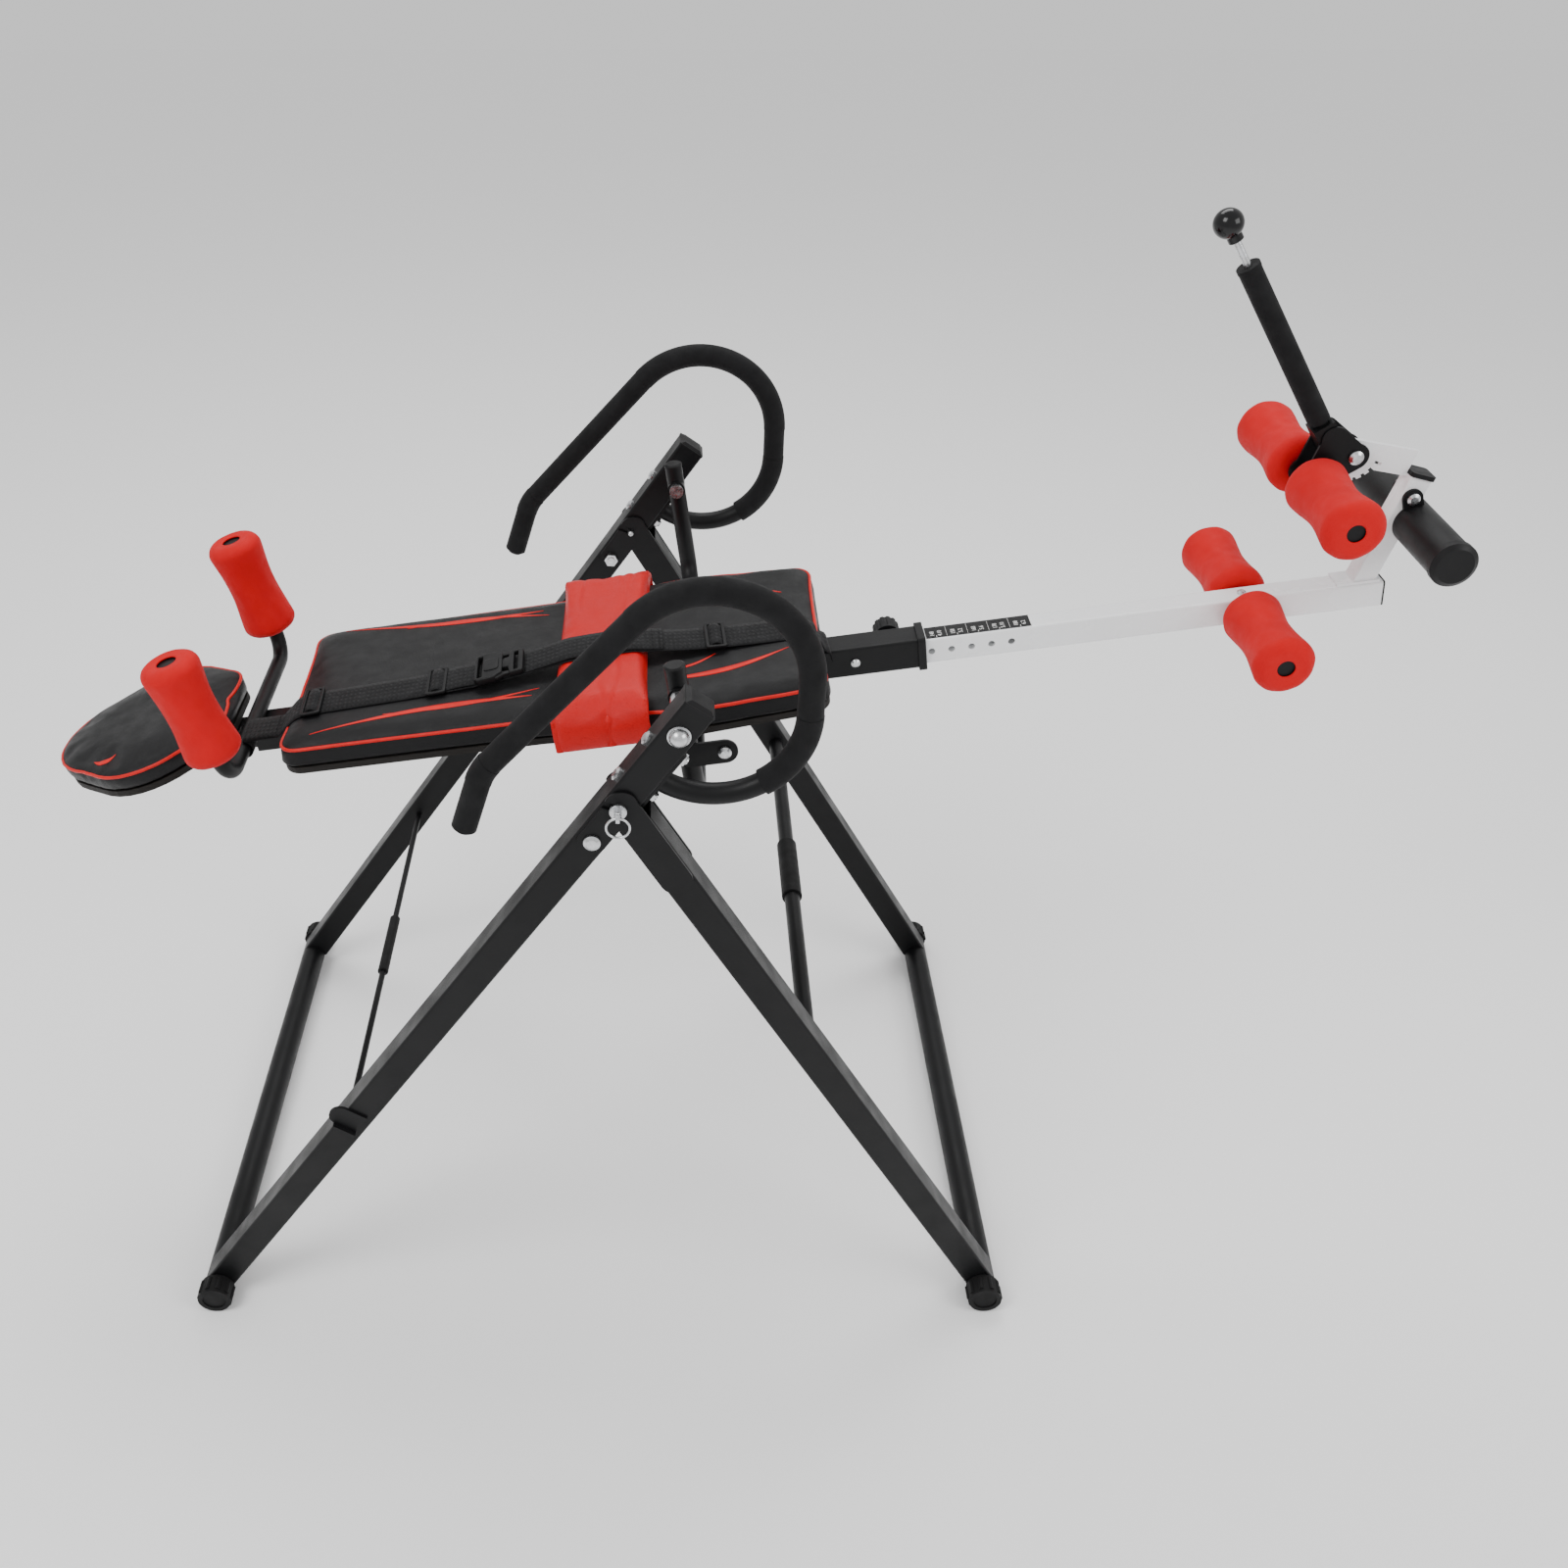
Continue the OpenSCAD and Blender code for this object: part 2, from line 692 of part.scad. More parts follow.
// Cushion saddled over the pad, with a flap down each side
module lumbar_cushion() color(red_foam) {
    top_t = 15;
    side_t = 9;
    half = pad_hip_w / 2 + body_gap;
    on_bed() translate([cushion_mid - cushion_w / 2, 0, 0]) {
        translate([0, -half - side_t, pad_top + body_gap]) cube([cushion_w, 2 * (half + side_t), top_t]);
        both_sides() translate([0, half, pad_w0 - 8])
            cube([cushion_w, side_t, pad_top + body_gap - pad_w0 + 9]);
    }
}

// U-shaped bar across the head end; its ends stand up and carry the shoulder rollers
bar_bend = 30;
bar_up = 4.5 + roller_len - recess + 2;

module on_bar() {
    on_bed() translate([bar_u, 0, bar_w]) rotate([0, -bar_lean, 0]) children();
}

module shoulder_bar() color(steel) {
    on_bar() translate([0, bar_bend - bar_y, 0])
        rotate([-90, 0, 0]) linear_extrude(2 * (bar_y - bar_bend)) ring_2d(bar_r, bar_r - 1.6);
    on_bar() both_sides() {
        translate([0, bar_y - bar_bend, bar_bend]) rotate([90, 0, 90]) rotate([0, 0, -90])
            rotate_extrude(angle = 90) translate([bar_bend, 0]) ring_2d(bar_r, bar_r - 1.6);
        translate([0, bar_y, bar_bend]) linear_extrude(bar_up) ring_2d(bar_r, bar_r - 1.6);
        translate([0, bar_y, bar_bend + 0.5]) ring_z(bar_r + 3, bar_r - 0.8, 3.5);
        translate([0, bar_y, bar_bend + 4.5 + roller_len - recess + body_gap]) cylinder(h = 3, r = bar_r + 4);
    }
}

module ring_z(ro, ri, h) {
    linear_extrude(h) ring_2d(ro, ri);
}

// ---- webbing ----

strap_t = 2;
strap_turn = 5.1;
cushion_mid = pad_foot - 262;
buckle_u = cushion_mid - cushion_w / 2 - 60;

// The strap runs a little across the bed, from the shoulder bar to the foot end
module on_strap() {
    on_bed() translate([pad_foot, 0, 0]) rotate([0, 0, strap_turn]) children();
}

// Webbing looped round the shoulder bar, over the pad and cushion and down the foot end
module strap() color(webbing) {
    top = pad_top + body_gap;
    over = top + 15 + body_gap;
    bar_at = (bar_u - pad_foot) / cos(strap_turn);
    head = (pad_head - pad_foot) / cos(strap_turn) - 8;
    c0 = cushion_mid - cushion_w / 2 - 24 - pad_foot;
    c1 = cushion_mid + cushion_w / 2 + 24 - pad_foot;
    hole_r = bar_r + 2.4;
    on_strap() slab_xz(-strap_w / 2, strap_w / 2) {
        difference() {
            union() {
                translate([bar_at, bar_w]) circle(hole_r + strap_t);
                polygon([
                    [bar_at, bar_w + hole_r], [head, top], [c0, top], [c0 + 20, over],
                    [c1 - 20, over], [c1, top], [-2, top], [3, top - 5], [3, board_w0 + body_gap],
                    [3 + strap_t, board_w0 + body_gap], [3 + strap_t, top - 4], [-1, top + strap_t],
                    [c1 + 1, top + strap_t], [c1 - 19, over + strap_t], [c0 + 19, over + strap_t],
                    [c0 - 1, top + strap_t], [head - 1, top + strap_t], [bar_at, bar_w + hole_r + strap_t]]);
            }
            translate([bar_at, bar_w]) circle(hole_r);
        }
    }
}

module buckle() color(plastic) {
    on_strap() translate([buckle_u - pad_foot, 0, pad_top + 2 * body_gap + strap_t]) {
        translate([-28, -strap_w / 2 - 5, 0]) cube([36, strap_w + 10, 11]);
        translate([7, -strap_w / 2 - 2, 1]) cube([24, strap_w + 4, 8]);
    }
}

module strap_slides() color(plastic) {
    on_strap() for (u = [pad_head + 36, buckle_u - 79, pad_foot - 130])
        translate([u - pad_foot, 0, pad_top + 2 * body_gap + strap_t]) difference() {
            translate([-12, -strap_w / 2 - 4, 0]) cube([24, strap_w + 8, 3.5]);
            for (i = [-1, 1])
                translate([i * 5.5 - 2.5, -strap_w / 2, -1]) cube([5, strap_w, 6]);
        }
}

// ---- head rest ----

module on_neck() {
    on_bed() translate([neck_u, 0, -spine_drop]) rotate([0, -head_tilt, 0]) children();
}

module neck_tube() color(steel) {
    on_bed() translate([0, 0, -spine_drop]) square_tube(neck_u, spine_head + 190, neck_size, 2);
    on_neck() translate([-118, 0, 0]) {
        square_tube(0, 118, neck_size, 2);
        translate([-2, -neck_size / 2, -neck_size / 2]) cube([3, neck_size, neck_size]);
    }
    on_neck() translate([-6, -neck_size / 2 + 0.5, -neck_size / 2 + 2]) cube([9, neck_size - 1, neck_size - 4]);
}

module head_outline(m) {
    a = head_len / 2 - m;
    b = head_w / 2 - m;
    hull() {
        for (j = [-1, 1])
            translate([a * 0.1, j * (b - a * 0.72)]) circle(a * 0.72, $fn = 32);
        translate([-a * 0.22, 0]) circle(a * 0.78, $fn = 32);
        for (j = [-1, 1])
            translate([a * 0.66, j * b * 0.35]) circle(a * 0.34, $fn = 32);
    }
}

module head_board() color(board) {
    on_neck() translate([head_mid, 0, neck_size / 2]) linear_extrude(board_t) head_outline(5);
}

module head_pad() color(vinyl) {
    on_neck() translate([head_mid, 0, neck_size / 2 + board_t]) {
        linear_extrude(pad_t - 4) head_outline(0);
        translate([0, 0, pad_t - 4]) linear_extrude(2) head_outline(1.5);
        translate([0, 0, pad_t - 2]) linear_extrude(2) head_outline(4);
    }
}

// ---- boom ----

module boom_tube() color(white_paint) {
    on_bed() translate([0, 0, boom_w]) difference() {
        square_tube(boom_in, boom_end, boom_size, spine_wall);
        for (k = [2 : 6])
            translate([pin_u + k * hole_pitch, 0, 0]) rod_y(4, -boom_size, 0);
        for (k = [-3 : 6])
            translate([pin_u + k * hole_pitch, 0, 0]) rod_y(4.6, 0, boom_size);
        translate([pin_u - 3 * hole_pitch, 0, -3.9]) cube([9 * hole_pitch, boom_size, 7.8]);
        translate([heel_u, 0, 0]) rod_y(axle_d / 2 + seat_gap, -boom_size, boom_size);
        translate([heel_u - 4, 0, 0]) cylinder(h = boom_size, r = 2.5 + seat_gap);
    }
}

module scale_label() color(plastic) {
    on_bed() translate([spine_foot + 11, -13, boom_top]) cube([5 * hole_pitch + 6, 26, 0.3]);
}

module on_post() {
    on_bed() on_post_2() children();
}

module foot_post() color(white_paint) {
    difference() {
        union() {
            difference() {
                on_post() square_tube(-20, post_len, post_size, 2, 2);
                on_bed() translate([post_u - 60, -20, boom_top - 60]) cube([120, 40, 60]);
            }
            on_bed() translate([post_u - 30, -boom_half + 1, boom_top]) cube([48, boom_size - 2, 3]);
        }
        on_bed() translate([saddle_u, 0, saddle_w]) rod_y(4 + seat_gap, -60, 60);
    }
}

module boom_caps() color(plastic) {
    on_post() translate([post_len, 0, 0]) {
        rotate([90, 0, 90]) linear_extrude(5) rounded_box_2d(post_size + 4, post_size + 4, 4);
        translate([-8, 0, 0]) rotate([90, 0, 90]) linear_extrude(8)
            rounded_box_2d(post_size - 4.3, post_size - 4.3, 1);
    }
    both_sides() on_bed() translate([foot_bar_u, foot_bar_len / 2 - 16, foot_bar_w]) {
        rod_y(foot_bar_end_r, 8, 16);
        translate([0, 16, 0]) rotate([-90, 0, 0])
            cylinder(h = 4, r1 = foot_bar_end_r, r2 = foot_bar_d / 2 - 4);
    }
    on_bed() translate([0, 0, boom_w]) {
        translate([boom_end, 0, 0]) rotate([90, 0, 90]) linear_extrude(2)
            rounded_box_2d(boom_size, boom_size, 3);
    }
}

// Round bar notched to sit round the post, with a saddle plate each side of the post
module foot_bar() color(steel) {
    difference() {
        union() {
            on_bed() translate([foot_bar_u, 0, foot_bar_w]) difference() {
                rod_y(foot_bar_d / 2, -foot_bar_len / 2 + 8, foot_bar_len / 2 - 8);
                rod_y(foot_bar_d / 2 - 2, -foot_bar_len, foot_bar_len);
            }
            on_bed() both_sides() slab_xz(post_half - 1, post_half + 4) saddle_2d();
        }
        on_post() translate([-60, -post_half - seat_gap, -post_half - seat_gap])
            cube([post_len + 90, post_size + 2 * seat_gap, post_size + 2 * seat_gap]);
        on_bed() translate([saddle_u, 0, saddle_w]) rod_y(4 + seat_gap, -60, 60);
    }
}

module saddle_2d() {
    capsule_2d(saddle_u, saddle_w, foot_bar_u, foot_bar_w, 11);
}

// Axle along Y; an end disc sits in the recess at the outer end of each roller
module roller_axle() {
    in_y = boom_half + 4;
    out_y = in_y + body_gap + roller_len - recess;
    rod_y(axle_d / 2, -out_y - 2, out_y + 2);
    both_sides() {
        rod_y(axle_d / 2 + 3, in_y - 3, in_y);
        rod_y(axle_d / 2 + 4, out_y + body_gap, out_y + body_gap + 3);
    }
}

module heel_axle() color(steel) {
    on_bed() translate([heel_u, 0, boom_w]) roller_axle();
}

module instep_axle() color(steel) {
    on_bed() translate([instep_u, 0, instep_w]) roller_axle();
}

// Notched plate welded to the post; the clamp turns on its left end
module ratchet_plate() color(white_paint) {
    post_top_u = post_u + (clamp_w - 26 - boom_top) / tan(post_slope);
    on_bed() difference() {
        slab_xz(-3, 3) difference() {
            union() {
                capsule_2d(clamp_u, clamp_w, post_top_u - 6, clamp_w - 26, 15);
                translate([clamp_u, clamp_w]) intersection() {
                    circle(34);
                    translate([-6, -60]) square([60, 60]);
                }
            }
            for (k = [0 : 3])
                translate([clamp_u, clamp_w]) rotate(-78 + 16 * k)
                    translate([31, -2]) square([8, 4]);
            translate([clamp_u, clamp_w]) circle(5 + seat_gap);
        }
        on_post_2() translate([-60, -20, post_half - 120]) cube([300, 40, 120]);
        on_post_2() translate([post_len - body_gap, -20, 0]) cube([40, 40, post_half + 2 + body_gap]);
    }
}

module on_post_2() {
    translate([post_u, 0, boom_top]) rotate([0, -post_slope, 0]) children();
}

// Bolts of the boom: foot bar bolt, clamp pivot bolt and the axle screw
module boom_bolts() color(zinc) {
    on_bed() {
        translate([heel_u - 4, 0, boom_top - spine_wall]) {
            cylinder(h = spine_wall, r = 2.5);
            translate([0, 0, spine_wall]) pan_head(5, 3.5);
        }
        translate([clamp_u, 0, clamp_w]) {
            out = plate_in + plate_t + body_gap;
            rod_y(5, -out, out + 6);
            translate([0, -out, 0]) rotate([90, 0, 0]) pan_head(8, 5);
            translate([0, out, 0]) rotate([-90, 0, 0]) hex_nut(14, 5.5);
        }
        translate([saddle_u, 0, saddle_w]) {
            rod_y(4, -post_half - 4, post_half + 4);
            translate([0, -post_half - 4, 0]) rotate([90, 0, 0]) pan_head(7, 4.5);
            translate([0, post_half + 4, 0]) rotate([-90, 0, 0]) hex_nut(13, 6.5);
        }
    }
}

module boom_pin() color(plastic) {
    on_bed() translate([pin_u, 0, -spine_drop]) {
        rod_y(3.5, boom_half - 3, spine_half + 6);
        rod_y(8, spine_half + body_gap, spine_half + 13);
        difference() {
            rod_y(16, spine_half + 12, spine_half + 36);
            for (k = [0 : 11])
                rotate([0, 30 * k, 0]) translate([0, 0, 17.6]) rod_y(2.8, spine_half + 14, spine_half + 40);
        }
    }
}

// ---- ankle clamp ----

module lever_frame() {
    on_bed() translate([lever_u, 0, lever_w]) rotate([0, -lever_slope, 0]) children();
}

module clamp_outline() {
    capsule_2d(clamp_u, clamp_w, instep_u, instep_w, 15);
    capsule_2d(clamp_u - 1, clamp_w + 1, lever_u - 2, lever_w + 14, 14);
    capsule_2d(instep_u + 1, instep_w + 1, lever_u - 4, lever_w + 10, 12);
}

module lever_bracket() color(steel) {
    difference() {
        union() {
            on_bed() for (j = [0, 1]) mirror([0, j, 0])
                slab_xz(plate_in, plate_in + plate_t) clamp_outline();
            difference() {
                lever_frame() translate([2, -plate_in - 1, -12]) cube([30, 2 * plate_in + 2, 24]);
                on_bed() translate([clamp_u, 0, clamp_w]) rod_y(17.5, -plate_in - 4, plate_in + 4);
            }
        }
        lever_frame() rod_x(lever_r + seat_gap, 7, 60);
        on_bed() translate([clamp_u, 0, clamp_w]) rod_y(5 + run_gap, -40, 40);
        on_bed() translate([instep_u, 0, instep_w]) rod_y(axle_d / 2 + seat_gap, -40, 40);
    }
}

module lever_tube() color(steel) {
    lever_frame() difference() {
        rod_x(lever_r, 7, lever_len);
        rod_x(lever_r - 2, 12, lever_len + 10);
    }
}

module lever_grip() color(foam) {
    lever_frame() {
        difference() {
            rod_x(12, 36, lever_len);
            rod_x(lever_r + seat_gap, 20, lever_len + 10);
        }
        difference() {
            rod_x(12.5, lever_len, lever_len + 5);
            rod_x(4.4, lever_len - 10, lever_len + 10);
        }
    }
}

rod_out = 50;

module release_rod() color(zinc) {
    lever_frame() {
        rod_x(4, 40, lever_len + rod_out);
        rod_x(6.5, 40, 60);
    }
}

module ball_knob() color(plastic) {
    lever_frame() difference() {
        union() {
            translate([lever_len + rod_out + 6, 0, 0]) sphere(ball_d / 2);
            rod_x(8, lever_len + rod_out - 14, lever_len + rod_out);
        }
        rod_x(4 + seat_gap, lever_len + rod_out - 30, lever_len + rod_out + 0.1);
    }
}

// ---- foam rollers ----

module roller_profile(bore, plug_r) {
    r_end = roller_d / 2;
    edge = 9;
    half = roller_len / 2 - edge;
    waist_r = (half * half + roller_dip * roller_dip) / (2 * roller_dip);
    difference() {
        union() {
            translate([bore, 0]) square([r_end - edge - bore, roller_len]);
            translate([bore, edge]) square([r_end - bore, roller_len - 2 * edge]);
            for (z = [edge, roller_len - edge])
                translate([r_end - edge, z]) circle(edge);
        }
        translate([r_end - roller_dip + waist_r, roller_len / 2]) circle(waist_r);
        translate([0, roller_len - recess]) square([plug_r + body_gap, recess + 1]);
    }
}

module roller(shaft_r) {
    rotate_extrude() roller_profile(shaft_r + run_gap, shaft_r + 4);
}

module axle_roller() {
    translate([0, boom_half + 4 + body_gap, 0]) rotate([-90, 0, 0]) roller(axle_d / 2);
}

module heel_roller() {
    on_bed() translate([heel_u, 0, boom_w]) axle_roller();
}

module instep_roller() {
    on_bed() translate([instep_u, 0, instep_w]) axle_roller();
}

module shoulder_roller() {
    on_bar() translate([0, bar_y, bar_bend + 4.5]) roller(bar_r);
}

// ---- one module for each remaining part ----

module front_base_tube() color(steel) front_place() base_tube();

module rear_base_tube() color(steel) rear_place() base_tube();

module front_foot_caps() color(plastic) front_place() foot_caps();

module rear_foot_caps() color(plastic) rear_place() foot_caps();

module main_leg_far() color(steel) main_leg();

module main_leg_near() color(steel) mirror([0, 1, 0]) {
    main_leg();
    leg_catch();
}

module leg_end_caps() color(plastic) both_sides() leg_end_cap();

module handle_far() color(steel) handle();

module handle_near() color(steel) mirror([0, 1, 0]) handle();

module grip_far() color(foam) grip();

module grip_near() color(foam) mirror([0, 1, 0]) grip();

module rear_leg_far() color(steel) rear_leg();

module rear_leg_near() color(steel) mirror([0, 1, 0]) rear_leg();

module fold_brackets() color(steel) both_sides() fold_bracket();

module lock_pin_far() color(zinc) lock_pin();

module lock_pin_near() color(zinc) mirror([0, 1, 0]) lock_pin();

module pull_ring_far() color(zinc) pull_ring();

module pull_ring_near() color(zinc) mirror([0, 1, 0]) pull_ring();

module heel_roller_far() color(red_foam) heel_roller();

module heel_roller_near() color(red_foam) mirror([0, 1, 0]) heel_roller();

module instep_roller_far() color(red_foam) instep_roller();

module instep_roller_near() color(red_foam) mirror([0, 1, 0]) instep_roller();

module shoulder_roller_far() color(red_foam) shoulder_roller();

module shoulder_roller_near() color(red_foam) mirror([0, 1, 0]) shoulder_roller();

front_base_tube();
front_foot_caps();
main_leg_near();
main_leg_far();
leg_end_caps();
front_cross_bar();
front_bumper();
handle_near();
handle_far();
grip_near();
grip_far();
frame_bolts();
pivot_axles();
rear_base_tube();
rear_foot_caps();
rear_leg_near();
rear_leg_far();
fold_brackets();
rear_cross_bar();
rear_bumper();
lock_pin_near();
lock_pin_far();
pull_ring_near();
pull_ring_far();
spine_tube();
cradle_arms();
cradle_caps();
bed_bolts();
spine_collar();
back_board();
back_pad();
lumbar_cushion();
shoulder_bar();
strap();
buckle();
strap_slides();
neck_tube();
head_board();
head_pad();
boom_tube();
scale_label();
foot_post();
boom_caps();
foot_bar();
heel_axle();
ratchet_plate();
boom_bolts();
boom_pin();
lever_bracket();
lever_tube();
lever_grip();
instep_axle();
release_rod();
ball_knob();
heel_roller_near();
heel_roller_far();
instep_roller_near();
instep_roller_far();
shoulder_roller_near();
shoulder_roller_far();
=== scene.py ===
import json
import math

import bmesh
import bpy
import numpy as np
from mathutils import Matrix, Vector
from mathutils.bvhtree import BVHTree


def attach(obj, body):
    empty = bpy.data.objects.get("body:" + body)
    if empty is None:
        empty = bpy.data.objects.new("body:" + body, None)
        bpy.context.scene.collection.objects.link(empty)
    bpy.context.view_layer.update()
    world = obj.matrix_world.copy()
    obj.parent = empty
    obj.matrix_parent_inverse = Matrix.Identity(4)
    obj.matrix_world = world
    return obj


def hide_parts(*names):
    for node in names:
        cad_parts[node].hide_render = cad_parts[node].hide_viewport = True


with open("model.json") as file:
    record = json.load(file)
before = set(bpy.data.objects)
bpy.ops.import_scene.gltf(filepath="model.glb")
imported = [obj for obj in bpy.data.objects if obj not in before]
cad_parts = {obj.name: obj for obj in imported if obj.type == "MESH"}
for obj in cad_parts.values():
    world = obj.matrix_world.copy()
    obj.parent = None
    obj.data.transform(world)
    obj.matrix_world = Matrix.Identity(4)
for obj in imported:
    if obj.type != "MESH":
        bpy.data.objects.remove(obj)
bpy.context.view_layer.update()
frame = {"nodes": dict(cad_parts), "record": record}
record = frame["record"]
nodes = frame["nodes"]
joints = {j["name"]: j for j in record["behaviour"]["joints"]}
C = bpy.context

# ---------------------------------------------------------------- frames

PIVOT = Vector(joints["bed_tilt"]["pos_m"])
U = Vector(joints["boom_slide"]["axis"]).normalized()
Y = Vector((0, 1, 0))
W = U.cross(Y)


def frame_of(origin, x, y, z):
    m = Matrix.Identity(4)
    for i, v in enumerate((x, y, z)):
        m[0][i], m[1][i], m[2][i] = v
    m[0][3], m[1][3], m[2][3] = origin
    return m


BED = frame_of(PIVOT, U, Y, W)


def local_points(node, m):
    """A CAD node's points in the frame m."""
    co = np.array([v.co for v in nodes[node].data.vertices], float)
    inv = np.array(m.inverted())
    return co @ inv[:3, :3].T + inv[:3, 3]


# ---------------------------------------------------------------- materials

class Mat:
    """A small procedural material: colour variation, roughness variation and a chain of bumps."""

    def __init__(self, name, color, rough, metal=0.0):
        self.m = bpy.data.materials.new(name)
        self.m.use_nodes = True
        self.t = self.m.node_tree
        self.b = self.t.nodes["Principled BSDF"]
        self.b.inputs["Base Color"].default_value = (*color, 1)
        self.b.inputs["Roughness"].default_value = rough
        self.b.inputs["Metallic"].default_value = metal
        self.color = color
        self.rough = rough
        self.co = self.add("ShaderNodeTexCoord").outputs["Object"]
        self.last = None

    def add(self, kind, **k):
        n = self.t.nodes.new(kind)
        for a, v in k.items():
            setattr(n, a, v)
        return n

    def link(self, a, b):
        self.t.links.new(a, b)

    def put(self, **k):
        for a, v in k.items():
            self.b.inputs[a.replace("_", " ")].default_value = v
        return self

    def coords(self, scale=(1, 1, 1), turn=(0, 0, 0), move=(0, 0, 0)):
        n = self.add("ShaderNodeMapping")
        n.inputs["Scale"].default_value = scale
        n.inputs["Rotation"].default_value = turn
        n.inputs["Location"].default_value = move
        self.link(self.co, n.inputs["Vector"])
        return n.outputs["Vector"]

    def noise(self, scale, detail=3.0, rough=0.5, co=None):
        n = self.add("ShaderNodeTexNoise")
        n.inputs["Scale"].default_value = scale
        n.inputs["Detail"].default_value = detail
        n.inputs["Roughness"].default_value = rough
        self.link(co or self.co, n.inputs["Vector"])
        return n.outputs["Fac"]

    def cells(self, scale, feature="F1", co=None):
        n = self.add("ShaderNodeTexVoronoi", feature=feature)
        n.inputs["Scale"].default_value = scale
        self.link(co or self.co, n.inputs["Vector"])
        return n.outputs["Distance"]

    def wave(self, scale, axis="X", profile="SIN", distort=0.0, co=None):
        n = self.add("ShaderNodeTexWave", bands_direction=axis, wave_profile=profile)
        n.inputs["Scale"].default_value = scale
        n.inputs["Distortion"].default_value = distort
        self.link(co or self.co, n.inputs["Vector"])
        return n.outputs["Fac"]

    def ramp(self, fac, a, b, lo=0.0, hi=1.0):
        n = self.add("ShaderNodeMapRange")
        n.inputs["From Min"].default_value = a
        n.inputs["From Max"].default_value = b
        n.inputs["To Min"].default_value = lo
        n.inputs["To Max"].default_value = hi
        self.link(fac, n.inputs["Value"])
        return n.outputs["Result"]

    def math(self, op, a, b):
        n = self.add("ShaderNodeMath", operation=op)
        for i, v in enumerate((a, b)):
            if isinstance(v, (int, float)):
                n.inputs[i].default_value = v
            else:
                self.link(v, n.inputs[i])
        return n.outputs[0]

    def tint(self, fac, other, base=None):
        """Mixes the colour so far with another by a mask."""
        n = self.add("ShaderNodeMix", data_type="RGBA")
        self.link(fac, n.inputs[0])
        src = self.b.inputs["Base Color"]
        if src.is_linked:
            self.link(src.links[0].from_socket, n.inputs[6])
        else:
            n.inputs[6].default_value = (*(base or self.color), 1)
        n.inputs[7].default_value = (*other, 1)
        self.link(n.outputs[2], src)
        return self

    def rough_var(self, fac, lo, hi, a=0.3, b=0.7):
        self.link(self.ramp(fac, a, b, lo, hi), self.b.inputs["Roughness"])
        return self

    def bump(self, height, strength, distance):
        n = self.add("ShaderNodeBump")
        n.inputs["Strength"].default_value = strength
        n.inputs["Distance"].default_value = distance
        self.link(height, n.inputs["Height"])
        if self.last:
            self.link(self.last, n.inputs["Normal"])
        self.last = n.outputs["Normal"]
        self.link(self.last, self.b.inputs["Normal"])
        return self


def powder_black():
    m = Mat("powder_black", (0.0040, 0.0041, 0.0045), 0.42)
    m.put(Specular_IOR_Level=0.2)
    m.tint(m.ramp(m.noise(9, 4), 0.4, 0.75, 0, 0.55), (0.0075, 0.0077, 0.0085))
    m.tint(m.ramp(m.noise(240, 5, 0.7), 0.66, 0.78, 0, 0.30), (0.03, 0.03, 0.031))
    m.rough_var(m.noise(26, 4), 0.34, 0.52)
    m.bump(m.noise(1500, 2), 0.25, 0.0004)
    m.bump(m.noise(320, 2), 0.12, 0.0006)
    return m.m


def gloss_white():
    m = Mat("gloss_white", (0.83, 0.84, 0.85), 0.24)
    m.put(Coat_Weight=0.35, Coat_Roughness=0.12)
    m.tint(m.ramp(m.noise(14, 4), 0.45, 0.8, 0, 0.5), (0.77, 0.775, 0.78))
    m.tint(m.ramp(m.noise(180, 5, 0.7), 0.68, 0.8, 0, 0.35), (0.6, 0.6, 0.6))
    m.rough_var(m.noise(30, 3), 0.2, 0.32)
    m.bump(m.noise(420, 2), 0.10, 0.0005)
    return m.m


def zinc():
    m = Mat("zinc_plate", (0.66, 0.67, 0.69), 0.26, 1.0)
    m.tint(m.ramp(m.noise(160, 4), 0.4, 0.7, 0, 0.7), (0.5, 0.5, 0.49))
    m.tint(m.ramp(m.noise(420, 4, 0.7), 0.62, 0.8, 0, 0.5), (0.35, 0.34, 0.32))
    m.rough_var(m.noise(300, 3), 0.18, 0.38)
    m.bump(m.noise(900, 3), 0.15, 0.0003)
    return m.m


def plastic(name, color, rough=0.5, grain=900):
    m = Mat(name, color, rough)
    m.put(Specular_IOR_Level=0.2)
    light = tuple(min(1, c * 1.6 + 0.002) for c in color)
    m.tint(m.ramp(m.noise(35, 4), 0.4, 0.75, 0, 0.5), light)
    m.rough_var(m.noise(60, 3), rough - 0.07, rough + 0.1)
    m.bump(m.cells(grain, "SMOOTH_F1"), 0.22, 0.0004)
    m.bump(m.noise(grain * 2, 2), 0.12, 0.0003)
    return m.m


def ball_black():
    m = Mat("ball_black", (0.003, 0.003, 0.0035), 0.12)
    m.put(Specular_IOR_Level=0.35)
    m.tint(m.ramp(m.noise(90, 4), 0.5, 0.8, 0, 0.5), (0.008, 0.008, 0.009))
    m.rough_var(m.noise(120, 4), 0.08, 0.2)
    m.bump(m.noise(500, 3), 0.04, 0.0003)
    return m.m


def foam(name, color, deep, cell=1300):
    """Closed cell foam with a skin: fine pits, soft mottling, a little fuzz."""
    m = Mat(name, color, 0.72)
    m.put(Specular_IOR_Level=0.16, Sheen_Weight=0.02, Sheen_Roughness=0.5)
    m.tint(m.ramp(m.noise(28, 4), 0.42, 0.75, 0, 0.6), deep)
    # painted shade: the centres of the foam cells, the low points of the cell bump, are darkened
    m.tint(m.ramp(m.cells(cell), 0.0, 0.28, 0.45, 0.0), tuple(c * 0.55 for c in color))
    m.rough_var(m.noise(70, 4), 0.62, 0.82)
    m.bump(m.cells(cell), 0.35, 0.0006)
    m.bump(m.noise(210, 4), 0.22, 0.0008)
    m.bump(m.noise(34, 2), 0.25, 0.0015)
    return m.m


